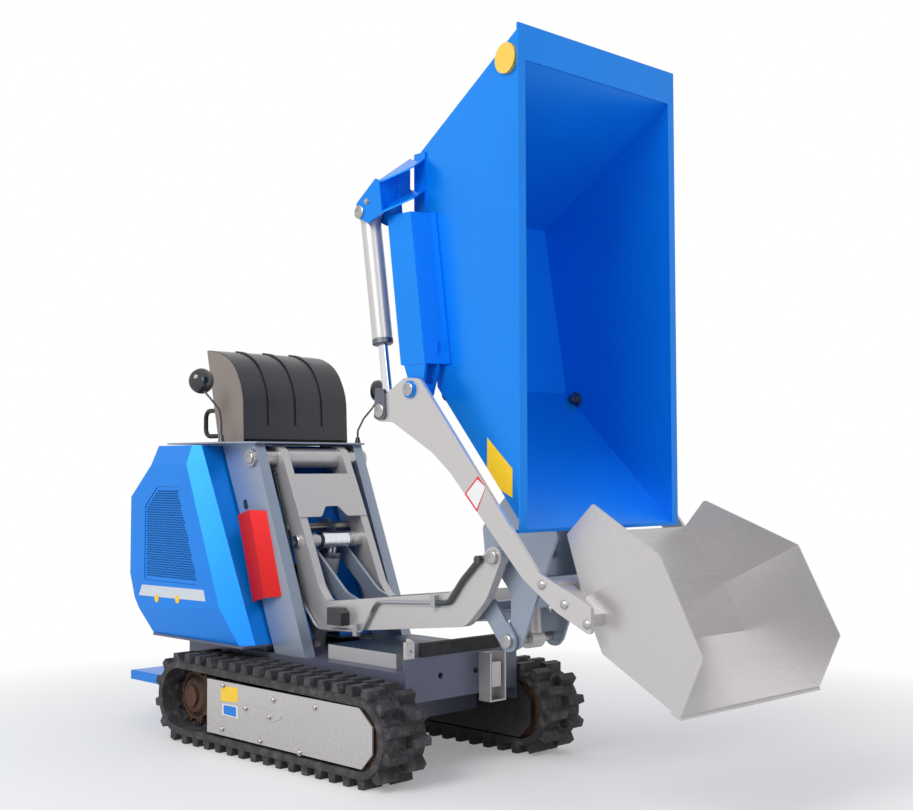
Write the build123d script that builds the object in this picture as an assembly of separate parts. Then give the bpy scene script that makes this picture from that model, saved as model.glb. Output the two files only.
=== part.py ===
"""Tracked site dumper with a high-tip lift, a self-loading shovel and a fold-down operator platform.

Millimetres. +X is the way the machine drives, +Y its left side, +Z up, and z = 0 is the ground.
The model is drawn about the middle of the track side covers and moved at the end, so that its
origin is the centre of its footprint. It stands with the skip tipped, the arms down and the
shovel half raised.
"""

import os
from math import atan2, ceil, cos, degrees, hypot, pi, radians, sin

from build123d import *

# ---------------------------------------------------------------- driving dimensions
# tracks
track_width = 180.0
track_centre_y = 370.0
track_pitch = 72.0
belt_thickness = 24.0
lug_height = 32.0
lug_length = 40.0
lug_tip_length = 26.0
lug_column_width = 78.0
guide_height = 16.0
guide_length = 30.0
guide_inner_y = 17.0
guide_outer_y = 32.0
idler_x, sprocket_x = 375.0, -650.0
idler_belt_radius = 102.0
sprocket_belt_radius = 108.0
sprocket_teeth = 9
sprocket_thickness = 26.0
roller_xs = (-400.0, -180.0, 40.0)
roller_radius = 36.0
rim_inner_y, rim_outer_y = 38.0, 70.0
seat_gap = 0.3
running_fit = 0.05

# track frames
axle_radius = 12.0
frame_plate_y = (262.0, 270.0)
cover_plate_y = (452.0, 458.0)
beam_z = (140.0, 222.0)
beam_x = (-448.0, 255.0)
cover_rear_x, cover_front_x = -455.0, 447.0
cover_z = (66.0, 255.0)
motor_radius = 78.0

# chassis
rail_thickness = 10.0
deck_z = 338.0
deck_thickness = 8.0
chassis_front_x, chassis_rear_x = 384.0, -880.0
rail_low_z = 200.0
rear_plate_low_z = 130.0
cross_beam_xs = (-350.0, 150.0)
cross_beam_length = 70.0
front_plate_thickness = 12.0
front_plate_z = (240.0, 385.0)
bumper_hole_ys, bumper_hole_z = (-105.0, 60.0), 318.0
bumper_hole_radius = 11.0
bumper_height = 44.0
bumper_half_width = 181.0
hose_bracket_y = (75.0, 152.0)
hose_bracket_z = (214.0, 378.0)
hose_bracket_reach = 54.0
deck_box_height = 49.0

# mast: posts lean back, their front edge runs from the deck to the top
mast_top_z = 1101.0
post_front_x_top, post_front_x_deck = -459.0, -148.0
post_rear_x_top, post_rear_x_deck = -668.0, -325.0
post_inner_y, post_outer_y = 213.0, 259.0
post_wall = 6.0
top_plate_thickness = 6.0
top_plate_rear_x = -920.0

# folded guards on the posts: x of their edges at the middle height, and their lean
guard_mid_z, guard_lean, guard_depth = 700.0, -0.31, 41.0
guard_inner_x, guard_crease_x, guard_rear_x = -334.5, -383.5, -462.5

# lift arms
arm_inner_y, arm_outer_y = 128.0, 162.0
mast_pivot = (-470.0, 1046.0)
arm_front_pivot = (686.0, 725.0)
lift_rod_pin = (-318.0, 738.0)
lift_base_pin = (-450.0, 250.0)
pivot_shaft_radius = 15.0

# tilt carriage and levelling link, a parallelogram with the lift arms
hook_inner_y, hook_outer_y = 90.0, 100.0
dogbone_inner_y, dogbone_outer_y = 104.0, 114.0
link_inner_y, link_outer_y = 70.0, 82.0
carriage_low_pin = (702.0, 460.0)
link_elbow = (620.0, 560.0)
link_shaft_radius = 18.0

# skip, in its tipped pose: the rim stands upright and faces forward
skip_hinge = (790.0, 990.0)
rim_x = 1003.0
rim_low_z, rim_high_z = 825.0, 2308.0
floor_front = (585.0, 1260.0)
floor_rear = (497.0, rim_high_z - 468.0)
side_rear_corner = (495.0, rim_high_z - 288.0)
rear_band_height = 103.0
floor_half_width = 296.5
rim_half_width = 350.0
rim_flange_width = 25.0
skip_wall = 5.0
hinge_shaft_radius = 16.0
tip_rod_pin = (670.0, 1080.0)

# shovel and its arms
shovel_pivot = (568.0, 1250.0)
shovel_rod_pin = (430.0, 1188.0)
shovel_barrel_pin = (334.0, 1835.0)
loader_arm_y = (394.0, 406.0)
loader_cylinder_y = 370.0
shovel_half_width = 340.0
shovel_plate = 5.0
shovel_pivot_radius = 20.0

# cylinders: barrel radius, rod radius, barrel length from its pin, rod length from its pin
lift_cylinder = (40.0, 22.0, 455.0, 450.0)
tip_cylinder = (34.0, 18.0, 300.0, 344.0)
loader_cylinder = (33.0, 15.5, 430.0, 540.0)
eye_pin_radius = 14.0

# operator platform
platform_hinge = (-960.0, 165.0)
platform_rear_x = -1270.0
platform_half_width = 290.0
platform_thickness = 36.0

# joint ranges, degrees
lift_range = (0.0, 50.0)
tip_range = (0.0, 90.0)
shovel_range = (-26.0, 45.0)
platform_range = (0.0, 70.0)

idler_z = idler_belt_radius + belt_thickness + lug_height
sprocket_z = sprocket_belt_radius + belt_thickness + lug_height
levelling_pivot = (
    mast_pivot[0] + carriage_low_pin[0] - arm_front_pivot[0],
    mast_pivot[1] + carriage_low_pin[1] - arm_front_pivot[1],
)
nodes = {}


# ---------------------------------------------------------------- small helpers
def side_plane(y):
    """Plane of the machine's side view at y: local x is X, local y is Z, and the normal is -Y."""
    return Plane(origin=(0, y, 0), x_dir=(1, 0, 0), z_dir=(0, -1, 0))


def outline(rows):
    """Closed face from rows of x, z and corner radius."""
    wire = FilletPolyline(*[(x, z) for x, z, _ in rows], radius=[r for _, _, r in rows], close=True)
    return make_face(wire.edges())


def slab(face, y_low, y_high):
    """A side-view face given thickness from y_low to y_high."""
    return extrude(side_plane(y_high) * face, amount=y_high - y_low, dir=(0, -1, 0))


def block(x_low, x_high, y_low, y_high, z_low, z_high):
    """Box between two corners."""
    size = (x_high - x_low, y_high - y_low, z_high - z_low)
    centre = ((x_low + x_high) / 2, (y_low + y_high) / 2, (z_low + z_high) / 2)
    return Pos(*centre) * Box(*size)


def rod(point, y_low, y_high, radius):
    """Cylinder across the machine at a side-view point."""
    return Pos(point[0], (y_low + y_high) / 2, point[1]) * Rot(90, 0, 0) * Cylinder(radius, y_high - y_low)


def strap(start, end, half_depth):
    """Side-view face of a bar with round ends about two points."""
    length = hypot(end[0] - start[0], end[1] - start[1])
    turn = degrees(atan2(end[1] - start[1], end[0] - start[0]))
    middle = ((start[0] + end[0]) / 2, (start[1] + end[1]) / 2)
    return Pos(*middle) * Rot(0, 0, turn) * SlotCenterToCenter(length, 2 * half_depth)


def beside(points, distance):
    """Points of a side-view line moved to its right by a distance, with mitred corners."""
    normals = []
    for (x0, z0), (x1, z1) in zip(points, points[1:]):
        length = hypot(x1 - x0, z1 - z0)
        normals.append(((z1 - z0) / length, (x0 - x1) / length))
    moved = []
    for index, (x, z) in enumerate(points):
        ax, az = normals[max(index - 1, 0)]
        bx, bz = normals[min(index, len(normals) - 1)]
        scale = distance / (1 + ax * bx + az * bz)
        moved.append((x + scale * (ax + bx), z + scale * (az + bz)))
    return moved


def sheet_face(points, thickness):
    """Side-view face of a bent sheet whose left face runs through the points."""
    return make_face(Polyline(*points, *reversed(beside(points, thickness)), close=True).edges())


def both_sides(shape):
    """The shape and its mirror image on the machine's other side."""
    return [shape, mirror(shape, about=Plane.XZ)]


def between(start, end, distance):
    """Side-view point at a distance from start towards end."""
    length = hypot(end[0] - start[0], end[1] - start[1])
    share = distance / length
    return (start[0] + share * (end[0] - start[0]), start[1] + share * (end[1] - start[1]))


def round_bar(start, end, y, radius):
    """Cylinder between two side-view points, in the plane at y."""
    length = hypot(end[0] - start[0], end[1] - start[1])
    middle = Vector((start[0] + end[0]) / 2, y, (start[1] + end[1]) / 2)
    along = Vector(end[0] - start[0], 0, end[1] - start[1])
    return Plane(origin=middle, x_dir=(0, 1, 0), z_dir=along) * Cylinder(radius, length)


def add(name, *shapes):
    """File shapes under a node's name as separate solids."""
    flat = []
    for shape in shapes:
        flat += shape if isinstance(shape, list) else [shape]
    nodes[name] = [solid for shape in flat for solid in shape.solids()]


# ---------------------------------------------------------------- tracks
def belt_frame(offset):
    """Tangent geometry of the belt at an offset outside its inner surface."""
    rear_r, front_r = sprocket_belt_radius + offset, idler_belt_radius + offset
    dx, dz = idler_x - sprocket_x, idler_z - sprocket_z
    span, tilt = hypot(dx, dz), atan2(dz, dx)
    spread = atan2(rear_r - front_r, span)
    top, bottom = tilt + pi / 2 - spread, tilt - pi / 2 + spread
    return rear_r, front_r, top, bottom


def on_circle(centre, radius, angle):
    return (centre[0] + radius * cos(angle), centre[1] + radius * sin(angle))


sprocket_centre, idler_centre = (sprocket_x, sprocket_z), (idler_x, idler_z)


def belt_face(offset):
    """Face inside the belt's surface at an offset from its inner surface."""
    rear_r, front_r, top, bottom = belt_frame(offset)
    rear_top, front_top = on_circle(sprocket_centre, rear_r, top), on_circle(idler_centre, front_r, top)
    rear_low, front_low = on_circle(sprocket_centre, rear_r, bottom), on_circle(idler_centre, front_r, bottom)
    middle = (top + bottom) / 2
    front_arc = ThreePointArc(front_low, on_circle(idler_centre, front_r, middle), front_top)
    rear_arc = ThreePointArc(rear_top, on_circle(sprocket_centre, rear_r, middle + pi), rear_low)
    return make_face([Line(rear_low, front_low), front_arc, Line(front_top, rear_top), rear_arc])


def belt_walk(offset):
    """Function from a distance along the belt to a point there and its outward angle, and the length."""
    rear_r, front_r, top, bottom = belt_frame(offset)
    rear_low, front_low = on_circle(sprocket_centre, rear_r, bottom), on_circle(idler_centre, front_r, bottom)
    straight = hypot(front_low[0] - rear_low[0], front_low[1] - rear_low[1])
    front_arc, rear_arc = front_r * (top - bottom), rear_r * (2 * pi - top + bottom)
    total = 2 * straight + front_arc + rear_arc

    def place(distance):
        s = distance % total
        if s < straight:
            return between(rear_low, front_low, s) if s else rear_low, bottom
        s -= straight
        if s < front_arc:
            angle = bottom + s / front_r
            return on_circle(idler_centre, front_r, angle), angle
        s -= front_arc
        if s < straight:
            front_top, rear_top = on_circle(idler_centre, front_r, top), on_circle(sprocket_centre, rear_r, top)
            return between(front_top, rear_top, s) if s else front_top, top
        angle = top + (s - straight) / rear_r
        return on_circle(sprocket_centre, rear_r, angle), angle

    return place, total


def toothed_face(offset, height, root, tip, phase):
    """Belt surface with a tooth at each pitch: outwards for a positive height, inwards for a negative."""
    place, total = belt_walk(offset)
    count = round(total / track_pitch)
    sink = -1.0 if height > 0 else 1.0
    points = []
    for index in range(count):
        middle = (index + phase) * total / count
        for along, out in ((-root / 2, sink), (-tip / 2, height), (tip / 2, height), (root / 2, sink)):
            _, middle_angle = place(middle)
            foot, angle = place(middle + along)
            lean = middle_angle if out == height else angle
            points.append((foot[0] + out * cos(lean), foot[1] + out * sin(lean)))
    return make_face(Polyline(*points, close=True).edges())


def build_track():
    """One rubber belt with two staggered columns of lugs outside and two rows of guides inside."""
    inner_low, inner_high = track_centre_y - track_width / 2, track_centre_y + track_width / 2
    hollow = belt_face(0)
    belt = slab(belt_face(belt_thickness) - hollow, inner_low, inner_high)
    edge = 5.0
    columns = ((inner_low + edge, 0.0), (inner_high - edge - lug_column_width, 0.5))
    for column_y, phase in columns:
        shoes = toothed_face(belt_thickness, lug_height, lug_length, lug_tip_length, phase)
        belt += slab(shoes - hollow, column_y, column_y + lug_column_width)
    horns = belt_face(1.0) - toothed_face(0, -guide_height, guide_length, guide_length / 2, 0.25)
    for side in (-1, 1):
        low, high = sorted((side * guide_inner_y, side * guide_outer_y))
        belt += slab(horns, track_centre_y + low, track_centre_y + high)
    return belt


track_left = build_track()
add("track_left", track_left)
add("track_right", mirror(track_left, about=Plane.XZ))

roller_z = idler_z - idler_belt_radius + roller_radius + seat_gap


def spool(centre, rim_radius, hub_radius, bore_radius):
    """Wheel that runs on the belt each side of its guides."""
    wheel = rod(centre, track_centre_y - rim_outer_y, track_centre_y + rim_outer_y, hub_radius)
    for low, high in ((-rim_outer_y, -rim_inner_y), (rim_inner_y, rim_outer_y)):
        wheel += rod(centre, track_centre_y + low, track_centre_y + high, rim_radius)
    return wheel - rod(centre, track_centre_y - 100, track_centre_y + 100, bore_radius)


bore = axle_radius + running_fit
rollers = [spool((x, roller_z), roller_radius, 20.0, bore) for x in roller_xs]
idler = spool(idler_centre, idler_belt_radius - seat_gap, 74.0, bore)
add("track_rollers", *[both_sides(wheel) for wheel in rollers + [idler]])


def build_sprocket():
    """Ring with rounded gaps between its teeth, bolted round the drive motor."""
    tip_radius, root_radius = sprocket_belt_radius - 1.0, sprocket_belt_radius - 20.0
    rows = []
    for tooth in range(sprocket_teeth):
        start = 2 * pi * tooth / sprocket_teeth
        steps = ((0.0, tip_radius), (0.28, tip_radius), (0.45, root_radius), (0.83, root_radius))
        for share, radius in steps:
            x, z = on_circle(sprocket_centre, radius, start + share * 2 * pi / sprocket_teeth)
            rows.append((x, z, 6.0 if radius == root_radius else 2.0))
    half = sprocket_thickness / 2
    ring = slab(outline(rows), track_centre_y - half, track_centre_y + half)
    return ring - rod(sprocket_centre, 300, 440, motor_radius + running_fit)


add("sprockets", both_sides(build_sprocket()))
motor = rod(sprocket_centre, frame_plate_y[1], 392, motor_radius)
motor = chamfer(motor.edges().group_by(Axis.Y)[-1], 18)
motor += rod(sprocket_centre, 392, 406, 38)
add("drive_motors", both_sides(motor))

# ---------------------------------------------------------------- track frames and side covers
front_chamfer = 52.0


def plate_face(rear_x, grow=0.0):
    """Side cover outline: chamfered at both front corners."""
    low, high, front = cover_z[0] - grow, cover_z[1] + grow, cover_front_x + grow
    return outline(
        (
            (rear_x, low, 4),
            (front - front_chamfer, low, 4),
            (front, low + front_chamfer, 4),
            (front, high - front_chamfer, 4),
            (front - front_chamfer - 12, high, 4),
            (rear_x, high, 4),
        )
    )


frame = slab(plate_face(sprocket_x - motor_radius - 16), *frame_plate_y)
frame += block(*beam_x, frame_plate_y[0], cover_plate_y[0], *beam_z)
frame += block(sprocket_x + 90, beam_x[0], frame_plate_y[0], frame_plate_y[0] + 50, *beam_z)
for x in roller_xs:
    frame += rod((x, roller_z), frame_plate_y[0], cover_plate_y[0], axle_radius)
    frame += block(x - 22, x + 22, cover_plate_y[0] - 8, cover_plate_y[0], roller_z - 14, beam_z[0])
frame += rod(idler_centre, frame_plate_y[0], cover_plate_y[0], axle_radius)
add("track_frames", both_sides(frame))

cover = slab(plate_face(cover_rear_x), *cover_plate_y)
cover += block(cover_rear_x - 6, cover_rear_x, cover_plate_y[0] - 26, cover_plate_y[1], *cover_z)
flap_corners = ((-225, 190, 8), (-30, 190, 8), (-12, 172, 8), (-70, 150, 8), (-120, 138, 8), (-225, 172, 8))
cover += slab(outline(flap_corners), cover_plate_y[1], cover_plate_y[1] + 2)
add("side_covers", both_sides(cover))

# ---------------------------------------------------------------- chassis between the tracks
rail_outer_y = frame_plate_y[0]
rail_inner_y = rail_outer_y - rail_thickness
deck_low = deck_z - deck_thickness
chassis = block(chassis_rear_x, chassis_front_x, -rail_outer_y, rail_outer_y, deck_low, deck_z)
for side in (-1, 1):
    low, high = sorted((side * rail_inner_y, side * rail_outer_y))
    chassis += block(chassis_rear_x, chassis_front_x, low, high, rail_low_z, deck_low)
chassis += block(chassis_rear_x, chassis_rear_x + 10, -rail_outer_y, rail_outer_y, rear_plate_low_z, deck_low)
for x in cross_beam_xs:
    half = cross_beam_length / 2
    chassis += block(x - half, x + half, -rail_outer_y, rail_outer_y, *beam_z)
lift_floor_z = rail_low_z - 8
lift_floor_x = (lift_base_pin[0] - 60, lift_base_pin[0] + 70)
chassis += block(*lift_floor_x, -rail_outer_y, rail_outer_y, lift_floor_z, rail_low_z)
front_plate = block(
    chassis_front_x - front_plate_thickness, chassis_front_x, -rail_outer_y, rail_outer_y, *front_plate_z
)
for y in bumper_hole_ys:
    front_plate -= Pos(chassis_front_x, y, bumper_hole_z) * Rot(0, 90, 0) * Cylinder(bumper_hole_radius, 60)
chassis += front_plate
lift_well = block(lift_base_pin[0] - 70, lift_base_pin[0] + 90, -62, 62, deck_low - 1, deck_z + 1)
chassis -= lift_well
for side in (-1, 1):
    low, high = sorted((side * 44.0, side * 56.0))
    lug = block(lift_base_pin[0] - 40, lift_base_pin[0] + 40, low, high, lift_floor_z, lift_base_pin[1])
    lug += rod(lift_base_pin, low, high, 40)
    chassis += lug
chassis -= rod(lift_base_pin, -60, 60, eye_pin_radius + running_fit)
lift_base_shaft = rod(lift_base_pin, -58, 58, eye_pin_radius)

bumper = block(
    chassis_front_x - 26,
    chassis_front_x + 2,
    -bumper_half_width,
    bumper_half_width,
    front_plate_z[1],
    front_plate_z[1] + bumper_height,
)
add("bumper_strip", bumper)
tie_hole_radius = 9.0
lug_face = outline(((350, 338, 0), (384, 338, 0), (384, 436, 12), (364, 448, 12), (350, 448, 4)))
lug = slab(lug_face, 222, 228) + block(372, 384, 222, 260, 385, 440)
lug -= Pos(378, 241, 405) * Rot(0, 90, 0) * Cylinder(tie_hole_radius, 40)
lug -= block(300, 384, 200, 300, 300, 338)
lug -= block(372, 384, 200, 300, 300, 385)
add("tie_down_lugs", both_sides(lug))

bracket_x = (chassis_front_x, chassis_front_x + hose_bracket_reach)
channel = block(*bracket_x, *hose_bracket_y, *hose_bracket_z)
channel -= block(
    bracket_x[0] + 6, bracket_x[1] + 1, hose_bracket_y[0] + 6, hose_bracket_y[1] - 6, hose_bracket_z[0] + 5, 900
)
channel += block(
    bracket_x[0] + 5,
    bracket_x[1] - 8,
    hose_bracket_y[0] + 16,
    hose_bracket_y[1] - 16,
    hose_bracket_z[0] + 48,
    hose_bracket_z[1] - 32,
)
add("hose_bracket", channel)

deck_box = block(-92, 269, -200, 200, deck_z, deck_z + deck_box_height)
add("deck_box", deck_box)

# ---------------------------------------------------------------- mast
post_rows = (
    (post_front_x_deck, deck_z, 0),
    (post_front_x_top, mast_top_z, 0),
    (post_rear_x_top, mast_top_z, 0),
    (post_rear_x_deck, deck_z, 0),
)
lean = (post_front_x_top - post_front_x_deck) / (mast_top_z - deck_z)
wall_x = post_wall * 1.1
hollow_rows = (
    (post_front_x_deck - wall_x, deck_z - 1, 0),
    (post_front_x_top - wall_x, mast_top_z + 1, 0),
    (post_rear_x_top - 60, mast_top_z + 1, 0),
    (post_rear_x_deck - 60, deck_z - 1, 0),
)
post = slab(outline(post_rows), post_inner_y, post_outer_y)
post -= slab(outline(hollow_rows), post_inner_y + post_wall, post_outer_y - post_wall)
for z_low in (deck_z, mast_top_z - post_wall, 660.0):
    rib_rows = [
        (post_front_x_deck + lean * (z_low - deck_z) - wall_x, z_low, 0),
        (post_front_x_deck + lean * (z_low - deck_z) - 120, z_low, 0),
        (post_front_x_deck + lean * (z_low - deck_z) - 120, z_low + post_wall, 0),
        (post_front_x_deck + lean * (z_low + post_wall - deck_z) - wall_x, z_low + post_wall, 0),
    ]
    post += slab(outline(rib_rows), post_inner_y + post_wall - 1, post_outer_y - post_wall + 1)
shaft_hole = pivot_shaft_radius + running_fit
post -= rod(mast_pivot, post_inner_y - 5, post_outer_y + 5, shaft_hole)
post -= rod(levelling_pivot, post_inner_y - 5, post_outer_y + 5, shaft_hole)
post -= rod((-515, 878), post_outer_y - post_wall - 1, post_outer_y + 1, 13)
add("mast_posts", both_sides(post))
top_plate_half = 345.0
top_face = Polyline(
    (top_plate_rear_x, -top_plate_half),
    (-540, -top_plate_half),
    (-525, -top_plate_half + 20),
    (-440, -post_outer_y - 3),
    (-440, post_outer_y + 3),
    (-525, top_plate_half - 20),
    (-540, top_plate_half),
    (top_plate_rear_x, top_plate_half),
    close=True,
)
top_plate = extrude(Pos(0, 0, mast_top_z) * make_face(top_face.edges()), amount=top_plate_thickness)
add("mast_top_plate", top_plate)

mast_shaft = rod(mast_pivot, -post_outer_y - 6, post_outer_y + 6, pivot_shaft_radius)
for side in (-1, 1):
    low, high = sorted((side * post_outer_y, side * (post_outer_y + 12)))
    mast_shaft += rod(mast_pivot, low, high, 32)
    low, high = sorted((side * (arm_outer_y + seat_gap), side * post_inner_y))
    mast_shaft += rod(mast_pivot, low, high, 34)
anchor = rod(levelling_pivot, -post_outer_y, post_outer_y, pivot_shaft_radius)
anchor += rod(levelling_pivot, -post_inner_y, post_inner_y, link_shaft_radius)
add("mast_shafts", mast_shaft, anchor, lift_base_shaft)


def mast_guard(side, z_low, z_high):
    """Folded plate on a post's outer face: it slopes out to a crease and runs back from there."""
    crease_y = post_outer_y + guard_depth
    folds = ((guard_inner_x, post_outer_y), (guard_crease_x, crease_y), (guard_rear_x, crease_y))
    section = sheet_face(folds, -5)
    foot_z, rise = z_low - 60, z_high - z_low + 120
    foot = Pos(guard_lean * (foot_z - guard_mid_z), 0, foot_z) * section
    shell = extrude(foot, amount=hypot(rise, guard_lean * rise), dir=(guard_lean * rise, 0, rise))

    def edge(x, z):
        return (x + guard_lean * (z - guard_mid_z), z, 0)

    ends = (
        edge(guard_rear_x - 9, z_low - 22),
        edge(guard_crease_x, z_low),
        edge(guard_inner_x + 9, z_low + 7),
        edge(guard_inner_x + 9, z_high - 4),
        edge(guard_crease_x, z_high),
        edge(guard_rear_x - 9, z_high - 23),
    )
    shell = shell & slab(outline(ends), post_outer_y, crease_y)
    return shell if side > 0 else mirror(shell, about=Plane.XZ)


add("mast_guards", mast_guard(-1, 540, 855), mast_guard(1, 605, 1010))

# ---------------------------------------------------------------- engine bay
base_z = (362.0, 370.0)
cover_half_width = 400.0
cover_wall = 5.0
cover_top_z = 1096.0
slot_half_width = 66.0
slot_top_z = 640.0
lean_step = (post_rear_x_top - post_rear_x_deck) / (mast_top_z - deck_z)


def cover_front_edge(z, gap):
    """X of the cover's front edge at height z, a gap behind the posts."""
    return post_rear_x_deck + lean_step * (z - deck_z) - gap


base = block(-946, -345, -cover_half_width + 14, cover_half_width - 14, *base_z)
base -= block(lift_base_pin[0] - 70, -300, -slot_half_width, slot_half_width, base_z[0] - 1, base_z[1] + 1)
for side in (-1, 1):
    low, high = sorted((side * 200.0, side * 240.0))
    base += block(-870, -400, low, high, deck_z, base_z[0])
chassis += base
add("chassis", chassis)
add("engine_block", block(-960, -620, -230, 230, base_z[1], 820))


def beyond(origin, normal, inset):
    """Large box beyond a plane that is moved inwards by an inset."""
    return Plane(origin=origin, z_dir=normal) * Pos(0, 0, 500 - inset) * Box(3000, 3000, 1000)


def cover_form(inset):
    """Faceted engine cover: side profile, chamfered along the top, beside the posts and at the foot."""
    low = base_z[1] - (20 if inset else 0)
    rows = (
        (-951 + inset, low, 0),
        (-1060 + inset, 500, 0),
        (-1096 + inset, 594, 0),
        (-1093 + inset, 896 - inset * 0.4, 0),
        (-946 + inset * 0.6, 1022 - inset, 0),
        (-936 + inset, cover_top_z - inset, 0),
        (cover_front_edge(cover_top_z, 12 + inset), cover_top_z - inset, 0),
        (cover_front_edge(low, 12 + inset), low, 0),
    )
    half = cover_half_width - inset
    form = slab(outline(rows), -half, half)
    for side in (-1, 1):
        form -= beyond((-700, side * cover_half_width, 1029), (0.696, side * 0.655, 0.296), inset)
        form -= beyond((-963, side * cover_half_width, 464), (0.015, side * 0.9775, -0.2104), inset)
        form -= beyond((-800, side * cover_half_width, 1022), (0, side * 0.935, 0.354), inset)
    return form


grille_corners = ((-901, 938), (-752, 938), (-606, 574), (-991, 574), (-988, 862))
grille_face = outline([(x, z, 10) for x, z in grille_corners])
engine_cover = cover_form(0) - cover_form(cover_wall)
engine_cover -= block(-560, -300, -slot_half_width, slot_half_width, base_z[0], slot_top_z)
for side in (-1, 1):
    low, high = sorted((side * (cover_half_width - 20), side * (cover_half_width + 5)))
    engine_cover -= slab(grille_face, low, high)
add("engine_cover", engine_cover)


def build_grille():
    """Perforated panel seated in the cover's side opening."""
    panel_face = offset(grille_face, amount=-seat_gap)
    slots = []
    for row in range(11):
        z = 602 + row * 28
        left = -972 + (12 if row % 2 else 0)
        right = -634 - (z - 574) * 0.41
        columns = int((right - left) // 46)
        slots += [Pos(left + 24 + 46 * column, z) * SlotOverall(34, 14) for column in range(columns)]
    panel = slab(panel_face, cover_half_width - cover_wall, cover_half_width - 2)
    return panel - slab(Sketch() + slots, cover_half_width - 10, cover_half_width + 5)


add("engine_grilles", both_sides(build_grille()))

# ---------------------------------------------------------------- console on the mast top
hood_z = mast_top_z + top_plate_thickness
hood_half_width = 253.0
hood_line = ((-538.0, hood_z), (-545.0, 1300.0), (-608.0, 1415.0), (-700.0, 1455.0), (-783.0, 1467.0))
hood_radii = (0, 220, 180, 200, 0)


def hood_band(points, out, thickness):
    """Side-view face of a band along the hood's profile, its outside a distance out from it."""
    outer = [(x, z, r + out if r else 0) for (x, z), r in zip(beside(points, out), hood_radii)]
    inside = zip(beside(points, out - thickness), hood_radii)
    inner = [(x, z, r + out - thickness if r else 0) for (x, z), r in inside]
    return outline(outer + inner[::-1])


hood_rows = [(x, z, r) for (x, z), r in zip(hood_line, hood_radii)] + [(-778, 1440, 6), (-700, hood_z, 0)]
hood_side = slab(outline(hood_rows), hood_half_width - 4, hood_half_width)
sheet_line = (between(hood_line[0], hood_line[1], 12), *hood_line[1:])
sheet = slab(hood_band(sheet_line, 2, 6), -hood_half_width + 4.3, hood_half_width - 4.3)
rib_line = (
    between(hood_line[0], hood_line[1], 65),
    *hood_line[1:4],
    between(hood_line[4], hood_line[3], 24),
)
rib_face = hood_band(rib_line, 8, 7)
for y in (-130, 0, 130):
    sheet += slab(rib_face, y - 8, y + 8)
add("console_cover", sheet)
add("console_sides", both_sides(hood_side))
console = block(-690, -570, -215, 215, hood_z, 1250) + block(-720, -600, -215, 215, 1250, 1262)
levers = []
for y in (-150, -90, -30, 30, 90, 150):
    lever = Pos(-668, y, 1290) * Cylinder(5, 56) + Pos(-668, y, 1322) * Sphere(13)
    levers.append(lever)
add("control_levers", *levers)
handle = Pos(-745, 0, 1250) * Rot(90, 0, 0) * Cylinder(11, 360)
for side in (-1, 1):
    low, high = sorted((side * 180.0, side * 202.0))
    handle += slab(strap((-745, 1250), (-690, 1180), 11), low, high)
grab_line = FilletPolyline((-686, 212, 1134), (-850, 212, 1134), (-850, 212, 1234), (-686, 212, 1234), radius=30)
grab_profile = Plane(origin=grab_line @ 0, z_dir=grab_line % 0) * Circle(9)
for grab_loop in both_sides(sweep(grab_profile, path=grab_line)):
    handle += grab_loop
add("control_console", console + handle)

# ---------------------------------------------------------------- mirrors on bent stems
boot_point = (-567.0, 332.0)


def build_mirror(side, centre, radius, stem_points):
    """Round head on a bent stem that stands in a rubber boot."""
    boot = Pos(*boot_point, hood_z + 13) * Cone(13, 8, 26)
    path = FilletPolyline((*boot_point, hood_z + 20), *stem_points, radius=[40, 25, 40])
    stem = sweep(Plane(origin=path @ 0, z_dir=path % 0) * Circle(4), path=path)
    face = Plane(origin=centre, x_dir=(0, 1, 0), z_dir=(-1, -0.28, 0.05))
    head = face * (Pos(0, 0, 8) * Cylinder(radius, 14))
    head += face * (Pos(0, 0, 24) * Sphere(radius + 7) & Pos(0, 0, -25) * Box(120, 120, 52.2))
    whole = head + stem + boot
    return whole if side > 0 else mirror(whole, about=Plane.XZ)


near_stem = ((-567, 332, 1178), (-560, 345, 1225), (-585, 362, 1262), (-612, 378, 1296))
far_stem = ((-567, 332, 1160), (-553, 352, 1210), (-540, 384, 1250), (-528, 408, 1290))
add(
    "mirrors",
    build_mirror(-1, (-620.0, 385.0, 1335.0), 46, near_stem),
    build_mirror(1, (-530.0, 415.0, 1325.0), 43, far_stem),
)

# ---------------------------------------------------------------- operator platform
hinge_x, hinge_z = platform_hinge
top_z = hinge_z + platform_thickness / 2
low_z = hinge_z - platform_thickness / 2
tread_face = outline(
    (
        (platform_rear_x, top_z - 8, 6),
        (platform_rear_x + 14, top_z + 2, 3),
        (hinge_x - 18, top_z + 2, 0),
        (hinge_x - 18, top_z - 2, 0),
        (platform_rear_x + 16, top_z - 2, 0),
        (platform_rear_x + 5, top_z - 10, 0),
        (platform_rear_x + 5, low_z, 0),
        (platform_rear_x, low_z, 0),
    )
)
platform = slab(tread_face, -platform_half_width, platform_half_width)
platform_cheek = block(platform_rear_x, hinge_x - 18, platform_half_width - 5, platform_half_width, low_z, top_z)
for cheek in both_sides(platform_cheek):
    platform += cheek
for y in (-180, 180):
    platform += block(platform_rear_x + 4, hinge_x - 8, y - 4, y + 4, low_z + 6, top_z)
    platform += rod(platform_hinge, y - 24, y + 24, 16)
platform -= rod(platform_hinge, -platform_half_width - 5, platform_half_width + 5, 10 + running_fit)
add("operator_platform", platform)
hinge_arms = []
for y in (-180, 180):
    for side in (-1, 1):
        low, high = sorted((y + side * 25, y + side * 37))
        ear = rod(platform_hinge, low, high, 14)
        ear += block(hinge_x, chassis_rear_x, low, high, hinge_z - 14, hinge_z + 14)
        hinge_arms.append(ear)
bracket_bar = block(chassis_rear_x - 12, chassis_rear_x, -230, 230, hinge_z - 24, hinge_z + 40)
bracket = bracket_bar
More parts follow.
